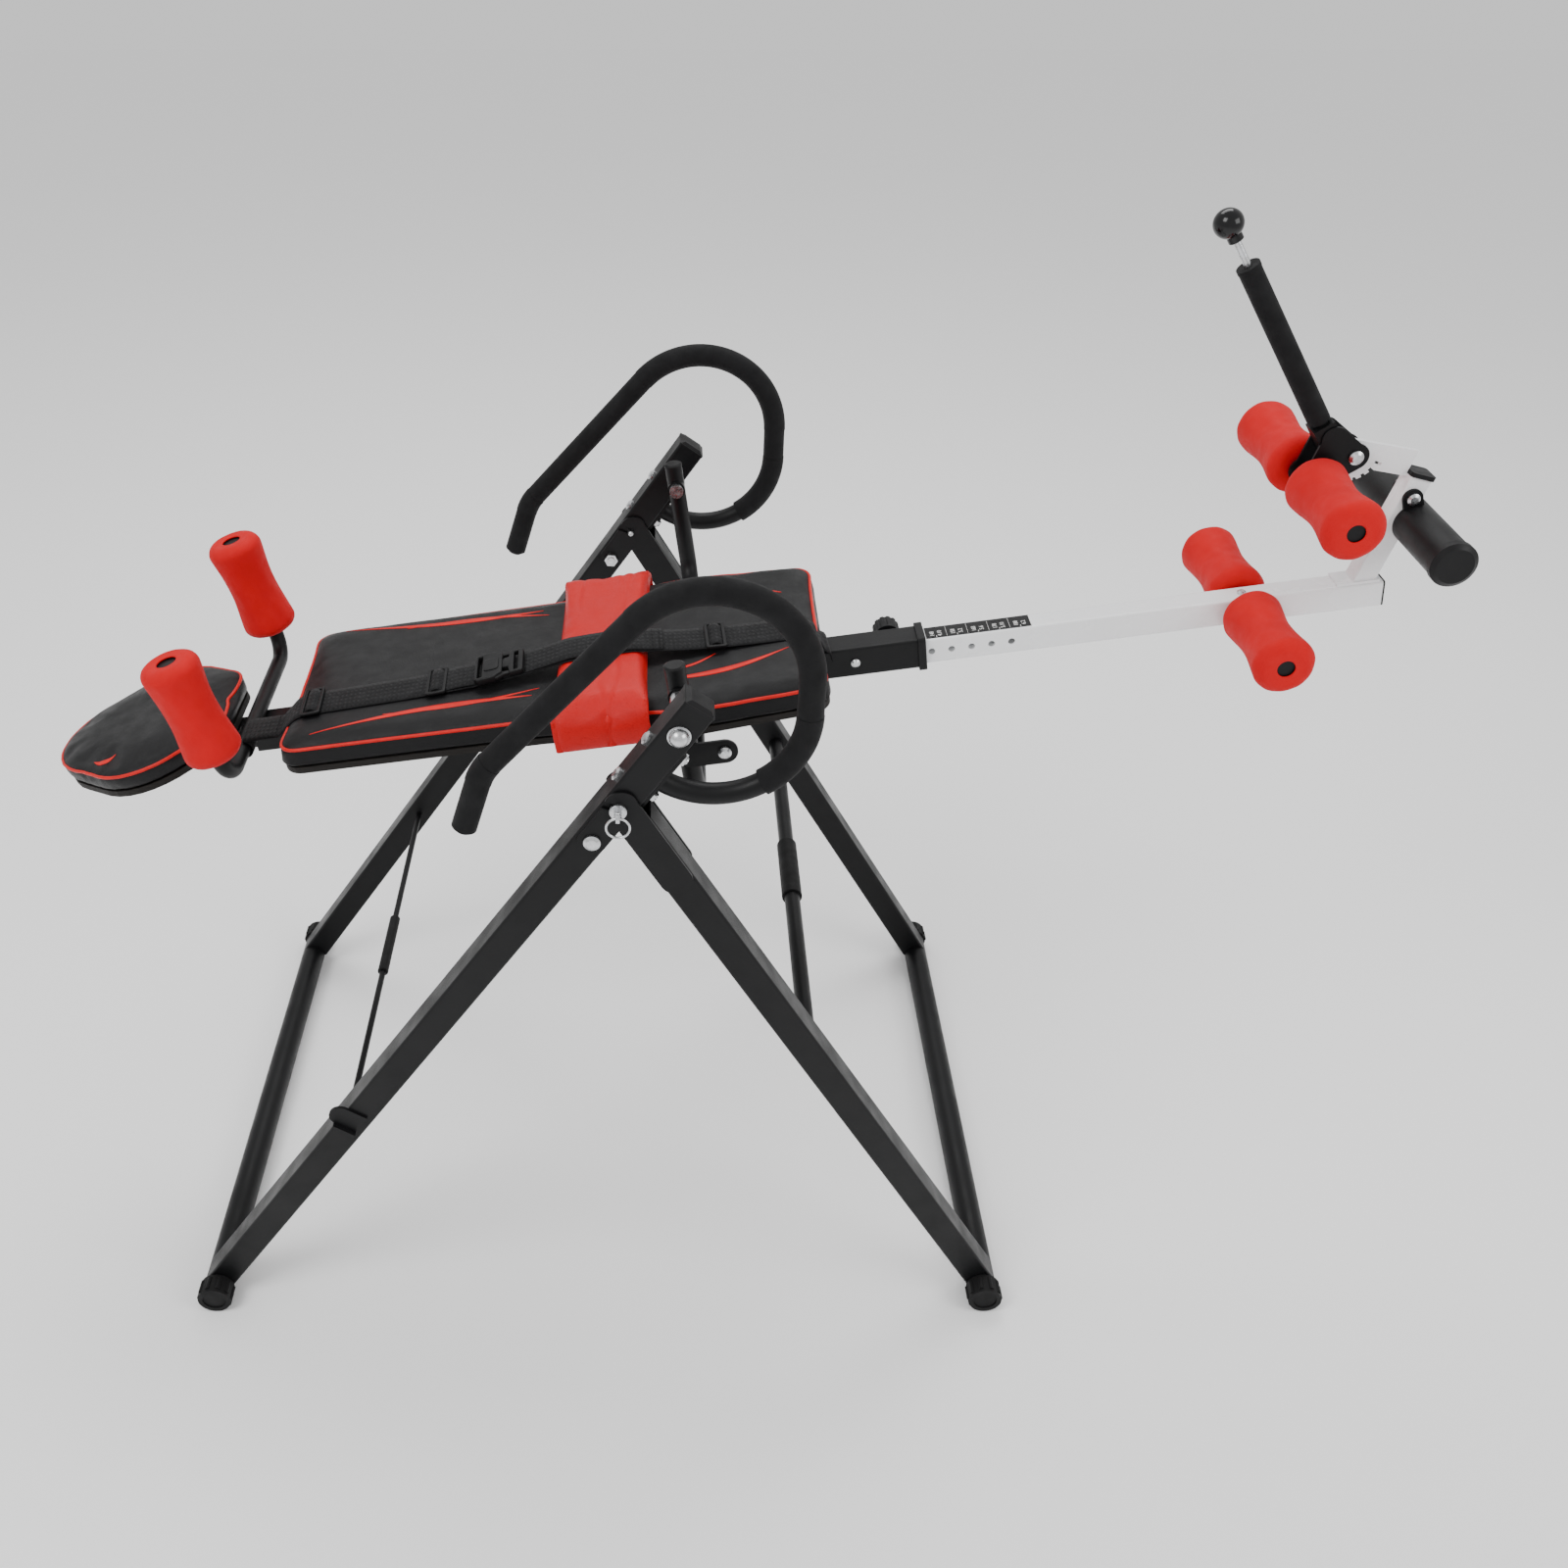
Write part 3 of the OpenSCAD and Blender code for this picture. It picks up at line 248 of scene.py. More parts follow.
def vinyl(name, color, light, gloss=0.42, tint=0.5):
    """Leather grained vinyl: pebbles with creases between them and long soft wrinkles."""
    m = Mat(name, color, gloss)
    m.put(Specular_IOR_Level=0.22)
    m.tint(m.ramp(m.noise(7, 4), 0.4, 0.75, 0, tint), light)
    edge = m.cells(620, "DISTANCE_TO_EDGE")
    # painted shade: the creases between the pebbles, low in the grain bump, are darkened
    m.tint(m.ramp(edge, 0.0, 0.12, 0.6, 0.0), tuple(c * 0.45 for c in color))
    m.rough_var(m.noise(40, 4), gloss - 0.08, gloss + 0.1)
    m.bump(m.ramp(edge, 0.0, 0.22), 0.30, 0.0005)
    m.bump(m.cells(1500, "SMOOTH_F1"), 0.12, 0.0003)
    m.bump(m.noise(26, 3), 0.22, 0.0016)
    return m.m


def piping_red():
    m = Mat("piping_red", (0.60, 0.006, 0.005), 0.36)
    m.put(Specular_IOR_Level=0.2)
    m.tint(m.ramp(m.noise(60, 4), 0.4, 0.75, 0, 0.6), (0.46, 0.004, 0.003))
    m.rough_var(m.noise(120, 3), 0.3, 0.46)
    m.bump(m.noise(700, 3), 0.25, 0.0004)
    return m.m


def weave(name, color, light, pitch=1.7, wide=2.6):
    """Woven webbing, in a frame with X along the strap: ribs along it and a twill across."""
    m = Mat(name, color, 0.72)
    m.put(Specular_IOR_Level=0.2, Sheen_Weight=0.04, Sheen_Roughness=0.4)
    ribs = m.wave(100 / wide, "Y")
    picks = m.wave(100 / pitch, "X")
    twill = m.wave(100 / pitch, "DIAGONAL")
    both = m.math("MULTIPLY", ribs, picks)
    # painted highlight: the raised points of the weave, high in the bump, are lightened
    m.tint(m.ramp(both, 0.1, 0.9, 0, 0.75), light)
    m.tint(m.ramp(m.noise(45, 4), 0.45, 0.8, 0, 0.4), tuple(c * 1.6 + 0.004 for c in light))
    m.rough_var(m.noise(400, 3), 0.62, 0.85)
    m.bump(both, 0.7, 0.0007)
    m.bump(twill, 0.35, 0.0004)
    return m.m


def board_black():
    """Plywood with a black stain: the grain shows as fine ridges, the plies at the edge a shade apart."""
    m = Mat("board_black", (0.011, 0.0095, 0.0085), 0.62)
    m.put(Specular_IOR_Level=0.2)
    grain = m.noise(16, 6, 0.65, m.coords((2.0, 26, 26)))
    m.tint(m.ramp(grain, 0.35, 0.75, 0, 0.8), (0.006, 0.005, 0.0045))
    ply = m.wave(80, "Z", co=m.coords((1, 1, 1)))
    m.tint(m.ramp(ply, 0.6, 0.95, 0, 0.4), (0.02, 0.016, 0.013))
    m.rough_var(grain, 0.52, 0.74)
    m.bump(grain, 0.25, 0.0006)
    return m.m


MATS = {
    "frame_paint": powder_black(),
    "white_paint": gloss_white(),
    "zinc": zinc(),
    "black_plastic": plastic("black_plastic", (0.0050, 0.0050, 0.0054), 0.46),
    "gloss_black": ball_black(),
    "label": plastic("scale_film", (0.0045, 0.0045, 0.005), 0.32, 1800),
    "rubber_cap": plastic("cap_rubber", (0.0048, 0.0048, 0.005), 0.6, 700),
    "black_foam": foam("foam_black", (0.0055, 0.0055, 0.006), (0.0095, 0.0095, 0.0105)),
    "red_roller": foam("foam_red", (0.56, 0.0015, 0.005), (0.47, 0.001, 0.004)),
    "vinyl": vinyl("vinyl_black", (0.0042, 0.0042, 0.0047), (0.0075, 0.0075, 0.0085)),
    "red_foam": vinyl("vinyl_red", (0.58, 0.002, 0.003), (0.47, 0.001, 0.002), 0.38, 0.7),
    "webbing": weave("webbing", (0.0035, 0.0035, 0.004), (0.011, 0.011, 0.012)),
    "board": board_black(),
}
PIPING = piping_red()
PRINT = plastic("print_red", (0.60, 0.006, 0.005), 0.4, 1500)
INK = plastic("ink_white", (0.75, 0.75, 0.74), 0.45, 1500)
THREAD = weave("thread_red", (0.40, 0.006, 0.005), (0.60, 0.02, 0.015), 0.8, 0.8)

for sub in record["subparts"]:
    mesh = nodes[sub["node"]].data
    mesh.materials.clear()
    mesh.materials.append(MATS[sub["material_slot"]])


# ---------------------------------------------------------------- mesh helpers

def mesh_object(name, verts, faces, material, m=None, smooth=True):
    me = bpy.data.meshes.new(name)
    me.from_pydata([tuple(map(float, v)) for v in verts], [], faces)
    me.update()
    me.materials.append(material)
    ob = bpy.data.objects.new(name, me)
    C.scene.collection.objects.link(ob)
    if m is not None:
        ob.matrix_world = m
    if smooth:
        me.polygons.foreach_set("use_smooth", [True] * len(me.polygons))
    return ob


def outward(ob):
    bm = bmesh.new()
    bm.from_mesh(ob.data)
    bmesh.ops.remove_doubles(bm, verts=bm.verts, dist=1e-6)
    bmesh.ops.recalc_face_normals(bm, faces=bm.faces)
    bm.to_mesh(ob.data)
    bm.free()
    return ob


def apply_modifiers(ob):
    dg = C.evaluated_depsgraph_get()
    me = bpy.data.meshes.new_from_object(ob.evaluated_get(dg))
    old = ob.data
    ob.modifiers.clear()
    ob.data = me
    bpy.data.meshes.remove(old)
    return ob


def modify(ob, kind, **k):
    mod = ob.modifiers.new(kind.lower(), kind)
    for a, v in k.items():
        setattr(mod, a, v)
    return mod


def shade(ob, angle=None):
    me = ob.data
    me.polygons.foreach_set("use_smooth", [True] * len(me.polygons))
    if angle is not None:
        bm = bmesh.new()
        bm.from_mesh(me)
        for e in bm.edges:
            e.smooth = not (len(e.link_faces) == 2 and e.calc_face_angle(0) > math.radians(angle))
        bm.to_mesh(me)
        bm.free()
    return ob


def tube(name, pts, r, material, m=None, sides=12, closed=False, taper=None):
    """A round tube along points, with flat ends."""
    pts = [Vector(p) for p in pts]
    n = len(pts)
    verts, faces = [], []
    up = None
    for i, p in enumerate(pts):
        a = pts[(i - 1) % n] if closed or i else p
        b = pts[(i + 1) % n] if closed or i < n - 1 else p
        t = (b - a).normalized()
        if up is None:
            up = Vector((0, 0, 1)) if abs(t.z) < 0.9 else Vector((1, 0, 0))
        side = t.cross(up).normalized()
        up = side.cross(t).normalized()
        rr = r * (taper[i] if taper is not None else 1)
        for k in range(sides):
            c = 2 * math.pi * k / sides
            verts.append(p + side * (rr * math.cos(c)) + up * (rr * math.sin(c)))
    last = n if closed else n - 1
    for i in range(last):
        for k in range(sides):
            j, l = (i + 1) % n, (k + 1) % sides
            faces.append((i * sides + k, i * sides + l, j * sides + l, j * sides + k))
    if not closed:
        faces.append(tuple(range(sides))[::-1])
        faces.append(tuple(range((n - 1) * sides, n * sides)))
    return outward(mesh_object(name, verts, faces, material, m))


def lathe(name, profile, material, m, sides=96):
    """Turns (radius, height) points about local Z; the profile is a closed loop."""
    verts, faces = [], []
    n = len(profile)
    for k in range(sides):
        a = 2 * math.pi * k / sides
        for r, z in profile:
            verts.append((r * math.cos(a), r * math.sin(a), z))
    for k in range(sides):
        l = (k + 1) % sides
        for i in range(n):
            j = (i + 1) % n
            faces.append((k * n + i, l * n + i, l * n + j, k * n + j))
    return outward(mesh_object(name, verts, faces, material, m))


def flat_shape(name, rings, z0, z1, bevel, material, m):
    """An outline with holes, given thickness and rounded edges."""
    cu = bpy.data.curves.new(name, "CURVE")
    cu.dimensions = "2D"
    cu.fill_mode = "BOTH"
    for ring in rings:
        s = cu.splines.new("POLY")
        s.points.add(len(ring) - 1)
        for p, q in zip(s.points, ring):
            p.co = (q[0], q[1], 0, 1)
        s.use_cyclic_u = True
    cu.extrude = (z1 - z0) / 2 - bevel
    cu.bevel_depth = bevel
    cu.bevel_resolution = 2
    cu.offset = -bevel
    tmp = bpy.data.objects.new(name + "_c", cu)
    C.scene.collection.objects.link(tmp)
    C.view_layer.update()
    me = bpy.data.meshes.new_from_object(tmp.evaluated_get(C.evaluated_depsgraph_get()))
    bpy.data.objects.remove(tmp)
    me.transform(Matrix.Translation((0, 0, (z0 + z1) / 2)))
    me.materials.clear()
    me.materials.append(material)
    ob = bpy.data.objects.new(name, me)
    C.scene.collection.objects.link(ob)
    ob.matrix_world = m
    outward(ob)
    return shade(ob, 35)


def round_rect(cx, cy, a, b, r, n=5):
    out = []
    for sx, sy, a0 in ((1, 1, 0), (-1, 1, 90), (-1, -1, 180), (1, -1, 270)):
        for k in range(n + 1):
            t = math.radians(a0 + 90 * k / n)
            out.append((cx + sx * (a / 2 - r) + r * math.cos(t), cy + sy * (b / 2 - r) + r * math.sin(t)))
    return out


def join(name, obs):
    bpy.ops.object.select_all(action="DESELECT")
    for o in obs:
        o.select_set(True)
    C.view_layer.objects.active = obs[0]
    bpy.ops.object.join()
    obs[0].name = name
    return obs[0]


def tree_of(obs, m):
    """A search tree over the pieces, in the frame m."""
    inv = m.inverted()
    verts, faces = [], []
    for ob in obs:
        k = len(verts)
        t = inv @ ob.matrix_world
        verts += [t @ v.co for v in ob.data.vertices]
        faces += [[k + i for i in p.vertices] for p in ob.data.polygons]
    return BVHTree.FromPolygons(verts, faces)


def ring_of(node, m, level):
    """The outline of a CAD node at one height of the frame m, ordered round its middle."""
    co = local_points(node, m)
    z = co[:, 2].min() if level == "low" else level
    pts = co[np.abs(co[:, 2] - z) < 2e-4][:, :2]
    pts = np.unique(pts.round(5), axis=0)
    mid = (pts.min(0) + pts.max(0)) / 2
    a = np.arctan2(pts[:, 1] - mid[1], pts[:, 0] - mid[0])
    return pts[np.argsort(a)]


def resample(pts, step):
    p = np.vstack([pts, pts[:1]])
    d = np.r_[0, np.cumsum(np.linalg.norm(np.diff(p, axis=0), axis=1))]
    n = int(d[-1] / step)
    t = np.linspace(0, d[-1], n, endpoint=False)
    return np.c_[np.interp(t, d, p[:, 0]), np.interp(t, d, p[:, 1])]


def inset(pts, k):
    """Moves an outline in by k along its own normals."""
    a, b = np.roll(pts, 1, 0), np.roll(pts, -1, 0)
    t = b - a
    t /= np.linalg.norm(t, axis=1)[:, None]
    nrm = np.c_[t[:, 1], -t[:, 0]]
    area = np.sum(pts[:, 0] * np.roll(pts[:, 1], -1) - np.roll(pts[:, 0], -1) * pts[:, 1])
    return pts - nrm * k * (1 if area > 0 else -1)


def loft(name, rings, material, m):
    """Closes a stack of rings with the same count of points into a solid."""
    n = len(rings[0][0])
    verts, faces = [], []
    for pts, z in rings:
        verts += [(p[0], p[1], z) for p in pts]
    for i in range(len(rings) - 1):
        for k in range(n):
            l = (k + 1) % n
            faces.append((i * n + k, i * n + l, (i + 1) * n + l, (i + 1) * n + k))
    faces.append(tuple(range(n))[::-1])
    faces.append(tuple(range((len(rings) - 1) * n, len(rings) * n)))
    return outward(mesh_object(name, verts, faces, material, m))


def puff(ob, voxel, pressure, cap, hold=None, steps=20, subdivide=True):
    """Swells a closed piece as sewn fabric over foam.

    hold(co) gives 1 where a point may move freely and 0 where it may not.
    """
    modify(ob, "REMESH", mode="VOXEL", voxel_size=voxel, use_smooth_shade=True)
    apply_modifiers(ob)
    me = ob.data
    n = len(me.vertices)
    before = np.empty(n * 3)
    me.vertices.foreach_get("co", before)
    before = before.reshape(-1, 3)
    cloth = ob.modifiers.new("Cloth", "CLOTH")
    s = cloth.settings
    s.quality = 5
    s.mass = 0.25
    s.tension_stiffness = 25
    s.compression_stiffness = 25
    s.shear_stiffness = 12
    s.bending_stiffness = 0.6
    s.use_pressure = True
    s.uniform_pressure_force = pressure
    s.effector_weights.gravity = 0
    cloth.collision_settings.use_collision = False
    for f in range(1, steps + 1):
        C.scene.frame_set(f)
        C.view_layer.update()
    apply_modifiers(ob)
    C.scene.frame_set(1)
    me = ob.data
    after = np.empty(n * 3)
    me.vertices.foreach_get("co", after)
    after = after.reshape(-1, 3)
    d = after - before
    size = np.linalg.norm(d, axis=1)
    d *= np.minimum(1, cap / np.maximum(size, 1e-9))[:, None]
    if hold is not None:
        d *= hold(before)[:, None]
    me.vertices.foreach_set("co", (before + d).ravel())
    me.update()
    if subdivide:
        modify(ob, "SMOOTH", factor=0.5, iterations=3)
        modify(ob, "SUBSURF", levels=1, render_levels=1)
        apply_modifiers(ob)
    return shade(ob)


# ---------------------------------------------------------------- back pad

pad_co = local_points("back_pad", BED)
PAD_LO, PAD_HI = pad_co.min(0), pad_co.max(0)
PAD_TOP = PAD_HI[2]
pad_edge = resample(ring_of("back_pad", BED, "low"), 0.007)


def pad_body(name, edge, lo, hi, m, material, cap=0.007, voxel=0.0052):
    """A pad with soft upper and lower edges, swollen so that its top is crowned and its sides are round."""
    low = ((0.010, 0.0), (0.004, 0.0012), (0.0015, 0.005))
    high = ((0.001, 0.009), (0.003, 0.0045), (0.008, 0.002), (0.020, 0.0008), (0.05, 0.0))
    rings = [(inset(edge, k), lo + z) for k, z in low] + [(inset(edge, k), hi - z) for k, z in high]
    ob = loft(name, rings, material, m)

    def hold(co):
        return np.clip((co[:, 2] - lo) / 0.012, 0, 1)

    puff(ob, voxel, 4.0, cap, hold)
    # the underside lies flat on its board
    n = len(ob.data.vertices)
    co = np.empty(n * 3)
    ob.data.vertices.foreach_get("co", co)
    co = co.reshape(-1, 3)
    co[:, 2] = np.maximum(co[:, 2], lo)
    ob.data.vertices.foreach_set("co", co.ravel())
    ob.data.update()
    return ob


def seam_line(ob, edge, z, out=0.0):
    """Points where the side of a pad is met at height z, coming in square to its outline."""
    tree = tree_of([ob], ob.matrix_world)
    far = inset(edge, -0.03)
    pts = []
    for p, q in zip(far, edge):
        d = Vector((q[0] - p[0], q[1] - p[1], 0)).normalized()
        hit = tree.ray_cast(Vector((p[0], p[1], z)), d)[0]
        h = hit if hit is not None else Vector((q[0], q[1], z))
        pts.append(h - d * out)
    return pts


back = pad_body("back_cushion", pad_edge, PAD_LO[2], PAD_HI[2] - 0.003, BED, MATS["vinyl"])
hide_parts("back_pad")
back_piping = tube("back_piping", seam_line(back, pad_edge, PAD_HI[2] - 0.0085, 0.0002),
                   0.0021, PIPING, BED, 10, closed=True)
low_seam = tube("back_low_seam", seam_line(back, pad_edge, PAD_LO[2] + 0.005, -0.0002),
                0.0009, MATS["vinyl"], BED, 6, closed=True)

# ---------------------------------------------------------------- lumbar cushion

cu_co = local_points("lumbar_cushion", BED)
CU_LO, CU_HI = cu_co.min(0), cu_co.max(0)


def saddle(name, lo, hi, inner_half, inner_top):
    """A thick band over the pad with rounded shoulders, drawn in cross section and lofted along the bed."""
    out_half = hi[1]
    r_o = 0.026
    arc = [(out_half - r_o + r_o * math.cos(a), hi[2] - r_o + r_o * math.sin(a))
           for a in np.linspace(0, math.pi / 2, 14)]
    side = [(out_half, lo[2]), (out_half, lo[2] + 0.012)] + arc
    other = [(-y, z) for y, z in side]
    top = [(y, hi[2] + 0.0008) for y in np.linspace(out_half - 0.05, -out_half + 0.05, 22)]
    outer = side + top + other[::-1]
    inner = [(-inner_half, lo[2]), (-inner_half, inner_top), (0, inner_top), (inner_half, inner_top),
             (inner_half, lo[2])]
    prof = outer + inner
    verts, faces = [], []
    us = [lo[0], lo[0] + 0.003, hi[0] - 0.003, hi[0]]
    n = len(prof)
    for i, u in enumerate(us):
        k = 0.985 if i in (0, 3) else 1.0
        for y, z in prof:
            edge_y = y * (k if abs(y) > inner_half + 0.001 else 1)
            edge_z = z - (0.003 if i in (0, 3) and z > inner_top + 0.004 else 0)
            verts.append((u, edge_y, edge_z))
    for i in range(3):
        for k in range(n):
            l = (k + 1) % n
            faces.append((i * n + k, i * n + l, (i + 1) * n + l, (i + 1) * n + k))
    faces.append(tuple(range(n))[::-1])
    faces.append(tuple(range(3 * n, 4 * n)))
    return outward(mesh_object(name, verts, faces, MATS["red_foam"], BED))


inner_half = PAD_HI[1] + 0.0004
cushion = saddle("lumbar_cover",
                 CU_LO + np.array((0.003, 0.002, 0)), CU_HI - np.array((0.003, 0.002, 0.002)),
                 inner_half, PAD_TOP + 0.0004)
inner_top = PAD_TOP + 0.0004


def cushion_hold(co):
    inside = (co[:, 2] < inner_top + 0.003) & (np.abs(co[:, 1]) < inner_half + 0.0025)
    return np.where(inside, 0.0, 1.0)


puff(cushion, 0.0045, 4.0, 0.006, cushion_hold)
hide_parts("lumbar_cushion")


def crease(ob, folds, depth, width):
    """Presses soft folds across a cover; each fold has its place along X, its lean and its span in Y."""
    n = len(ob.data.vertices)
    co = np.empty(n * 3)
    no = np.empty(n * 3)
    ob.data.vertices.foreach_get("co", co)
    ob.data.vertices.foreach_get("normal", no)
    co, no = co.reshape(-1, 3), no.reshape(-1, 3)
    for u, lean, a, b in folds:
        x = co[:, 0] - u - lean * co[:, 1] - 0.004 * np.sin(co[:, 1] * 40 + u * 90)
        along = np.clip((co[:, 1] - a) / 0.03, 0, 1) * np.clip((b - co[:, 1]) / 0.03, 0, 1)
        co -= no * (depth * np.exp(-(x / width) ** 2) * along)[:, None]
    ob.data.vertices.foreach_set("co", co.ravel())
    ob.data.update()


cw = CU_HI[0] - CU_LO[0]
FOLDS = ((0.22, 0.10, -0.2, -0.06), (0.45, -0.08, -0.2, -0.09), (0.68, 0.06, -0.2, -0.04),
         (0.3, -0.05, 0.05, 0.2), (0.6, 0.09, 0.03, 0.2), (0.82, -0.04, 0.08, 0.2))
crease(cushion, [(CU_LO[0] + cw * f, lean, a, b) for f, lean, a, b in FOLDS], 0.0014, 0.0035)


def face_seams(ob, lo, hi, half):
    """Stitched seams round both ends of the cover, a few millimetres in from each end."""
    out = []
    tree = tree_of([ob], BED)
    for u in (lo[0] + 0.009, hi[0] - 0.009):
        pts = []
        path = [(half + 0.03, z) for z in np.linspace(lo[2] + 0.006, hi[2] - 0.012, 9)]
        path += [(y, hi[2] + 0.03) for y in np.linspace(half + 0.004, -half - 0.004, 70)]
        path += [(-half - 0.03, z) for z in np.linspace(hi[2] - 0.012, lo[2] + 0.006, 9)]
        for y, z in path:
            if z > hi[2] + 0.02:
                hit, nrm = tree.ray_cast(Vector((u, y, z)), Vector((0, 0, -1)))[:2]
            else:
                hit, nrm = tree.ray_cast(Vector((u, y, z)), Vector((0, -math.copysign(1, y), 0)))[:2]
            if hit is not None:
                pts.append((hit, nrm))
        for k in range(0, len(pts) - 1):
            (a, na), (b, nb) = pts[k], pts[k + 1]
            if (b - a).length > 0.03:
                continue
            steps = max(1, round((b - a).length / 0.0045))
            for s in range(steps):
                p = a.lerp(b, (s + 0.15) / steps)
                q = a.lerp(b, (s + 0.75) / steps)
                out.append((p + na * 0.0002, q + nb * 0.0002))
    return out


def stitches(name, pairs, r, material, m):
    """One mesh of short raised threads."""
    verts, faces = [], []
    for p, q in pairs:
        d = q - p
        if d.length < 1e-5:
            continue
        d.normalize()
        up = Vector((0, 0, 1)) if abs(d.z) < 0.8 else Vector((0, 1, 0))
        s = d.cross(up).normalized()
        n = s.cross(d)
        k = len(verts)
        mid = (p + q) / 2 + n * r * 0.4
        for c, w in ((p, 0.4), (mid, 1.0), (q, 0.4)):
            for a in range(5):
                t = 2 * math.pi * a / 5
                verts.append(c + s * (r * w * math.cos(t)) + n * (r * w * math.sin(t)))
        for i in range(2):
            for a in range(5):
                b = (a + 1) % 5
                faces.append((k + i * 5 + a, k + i * 5 + b, k + (i + 1) * 5 + b, k + (i + 1) * 5 + a))
        faces.append(tuple(k + a for a in range(5))[::-1])
        faces.append(tuple(k + 10 + a for a in range(5)))
    return outward(mesh_object(name, verts, faces, material, m))


cushion_thread = stitches("lumbar_stitches", face_seams(cushion, CU_LO, CU_HI, inner_half),
                          0.0005, THREAD, BED)

# ---------------------------------------------------------------- printed accents on the back pad

pad_tree = tree_of([back], BED)


def accent(name, tree, m, path, width, top=0.2, lift=0.0004):
    """A thin tapered print that follows the pad; path gives (x, y) at t and width gives its width there."""
    rows = []
    for t in np.linspace(0, 1, 56):
        x, y = path(t)
        x2, y2 = path(min(t + 0.01, 1.01))
        d = Vector((x2 - x, y2 - y, 0)).normalized()
        s = Vector((-d.y, d.x, 0))
        row = []
        for k in (-1, -0.33, 0.33, 1):
            p = Vector((x, y, 0)) + s * (k * width(t) / 2)
            hit = tree.ray_cast(Vector((p.x, p.y, top)), Vector((0, 0, -1)))[0]
            if hit is not None:
                row.append(hit + Vector((0, 0, lift)))
        if len(row) == 4:
            rows.append(row)
    n = len(rows)
    verts = [v for r in rows for v in r] + [v - Vector((0, 0, lift * 1.8)) for r in rows for v in r]
    faces = []
    for i in range(n - 1):
        for k in range(3):
            a = i * 4 + k
            faces.append((a, a + 1, a + 5, a + 4))
            faces.append((a + 4 * n, a + 4 * n + 4, a + 4 * n + 5, a + 4 * n + 1))
        for k in (0, 3):
            a = i * 4 + k
            faces.append((a, a + 4, a + 4 + 4 * n, a + 4 * n))
    faces.append((0, 1, 2, 3, 3 + 4 * n, 2 + 4 * n, 1 + 4 * n, 4 * n))
    e = 4 * (n - 1)
    faces.append((e, e + 1, e + 2, e + 3, e + 3 + 4 * n, e + 2 + 4 * n, e + 1 + 4 * n, e + 4 * n))
    return outward(mesh_object(name, verts, faces, PRINT, m))


def arc(x0, x1, y0, y1, sag):
    return lambda t: (x0 + (x1 - x0) * t, y0 + (y1 - y0) * t + sag * math.sin(math.pi * t))


def leaf(w, k=1.0):
    return lambda t: 0.0006 + w * math.sin(math.pi * min(1, max(0, t)) ** k) ** 1.1


L = PAD_HI[0] - PAD_LO[0]
H = PAD_HI[1]
u0 = PAD_LO[0]
prints = []
# each stripe: tag, ends along the pad, its two offsets and its sag as shares of s, width and taper
STRIPES = (
    ("a", u0 + 0.07 * L, CU_LO[0] - 0.02, 0.72, 0.60, -0.010, 0.0075, 1.3),
    ("b", u0 + 0.20 * L, CU_LO[0] - 0.012, 0.60, 0.52, 0.008, 0.0035, 1.2),
    ("c", CU_HI[0] + 0.015, u0 + 0.93 * L, 0.62, 0.40, 0.012, 0.0085, 0.8),
    ("d", CU_HI[0] + 0.02, u0 + 0.80 * L, 0.50, 0.36, 0.006, 0.0035, 0.8),
)
for s in (-1, 1):
    for tag, x0, x1, y0, y1, sag, width, taper in STRIPES:
        path = arc(x0, x1, s * H * y0, s * H * y1, s * sag)
        prints.append(accent("pad_print_%s%d" % (tag, s + 1), pad_tree, BED, path, leaf(width, taper)))

# ---------------------------------------------------------------- head pad

def head_frame():
    """The head board's own flat frame, found from its top and bottom faces."""
    co = np.array([v.co for v in nodes["head_board"].data.vertices], float)
    flat = [p for p in nodes["head_board"].data.polygons if p.area > 0]
    nrm = Vector((0, 0, 0))
    for p in flat:
        n = p.normal
        if n.dot(W) > 0.95:
            nrm += n * p.area
    nrm.normalize()
    x = Y.cross(nrm)
    d = co @ np.array(nrm)
    top = co[d > d.max() - 3e-4]
    mid = (top.min(0) + top.max(0)) / 2
    return frame_of(Vector(mid), x.normalized(), Y, nrm)


HEAD = head_frame()
hp = local_points("head_pad", HEAD)
head_edge = resample(ring_of("head_pad", HEAD, "low"), 0.006)
head = pad_body("head_cushion", head_edge, hp[:, 2].min(), hp[:, 2].max() - 0.002, HEAD, MATS["vinyl"],
                0.007, 0.0045)
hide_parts("head_pad")
head_piping = tube("head_piping", seam_line(head, head_edge, hp[:, 2].max() - 0.0085, 0.0002),
                   0.002, PIPING, HEAD, 10, closed=True)
head_tree = tree_of([head], HEAD)
hx, hy = hp[:, 0].min(), hp[:, 1].max()
head_print = accent("head_print", head_tree, HEAD,
                    arc(hx * 0.38, hx * 0.12, -hy * 0.64, -hy * 0.64, -0.007), leaf(0.006))

# ---------------------------------------------------------------- webbing strap

st = local_points("strap", BED)
sb = local_points("shoulder_bar", BED)
near_mid = sb[np.abs(sb[:, 1]) < np.abs(sb[:, 1]).min() + 5e-4]
bar_x, bar_z = (near_mid[:, [0, 2]].min(0) + near_mid[:, [0, 2]].max(0)) / 2
head_end = st[st[:, 0] < st[:, 0].min() + 0.03]
foot_end = st[st[:, 0] > st[:, 0].max() - 0.002]
p0 = Vector((bar_x, (head_end[:, 1].min() + head_end[:, 1].max()) / 2, 0))
p1 = Vector((PAD_HI[0], (foot_end[:, 1].min() + foot_end[:, 1].max()) / 2, 0))
SW = 0.050
sx = (p1 - p0).normalized()
STRAP = BED @ frame_of(p0, sx, Vector((-sx.y, sx.x, 0)), Vector((0, 0, 1)))
LEN = (p1 - p0).length
strap_tree = tree_of([back, cushion], STRAP)


def surface(x, y, top=0.2):
    hit = strap_tree.ray_cast(Vector((x, y, top)), Vector((0, 0, -1)))[0]
    return hit.z if hit is not None else None


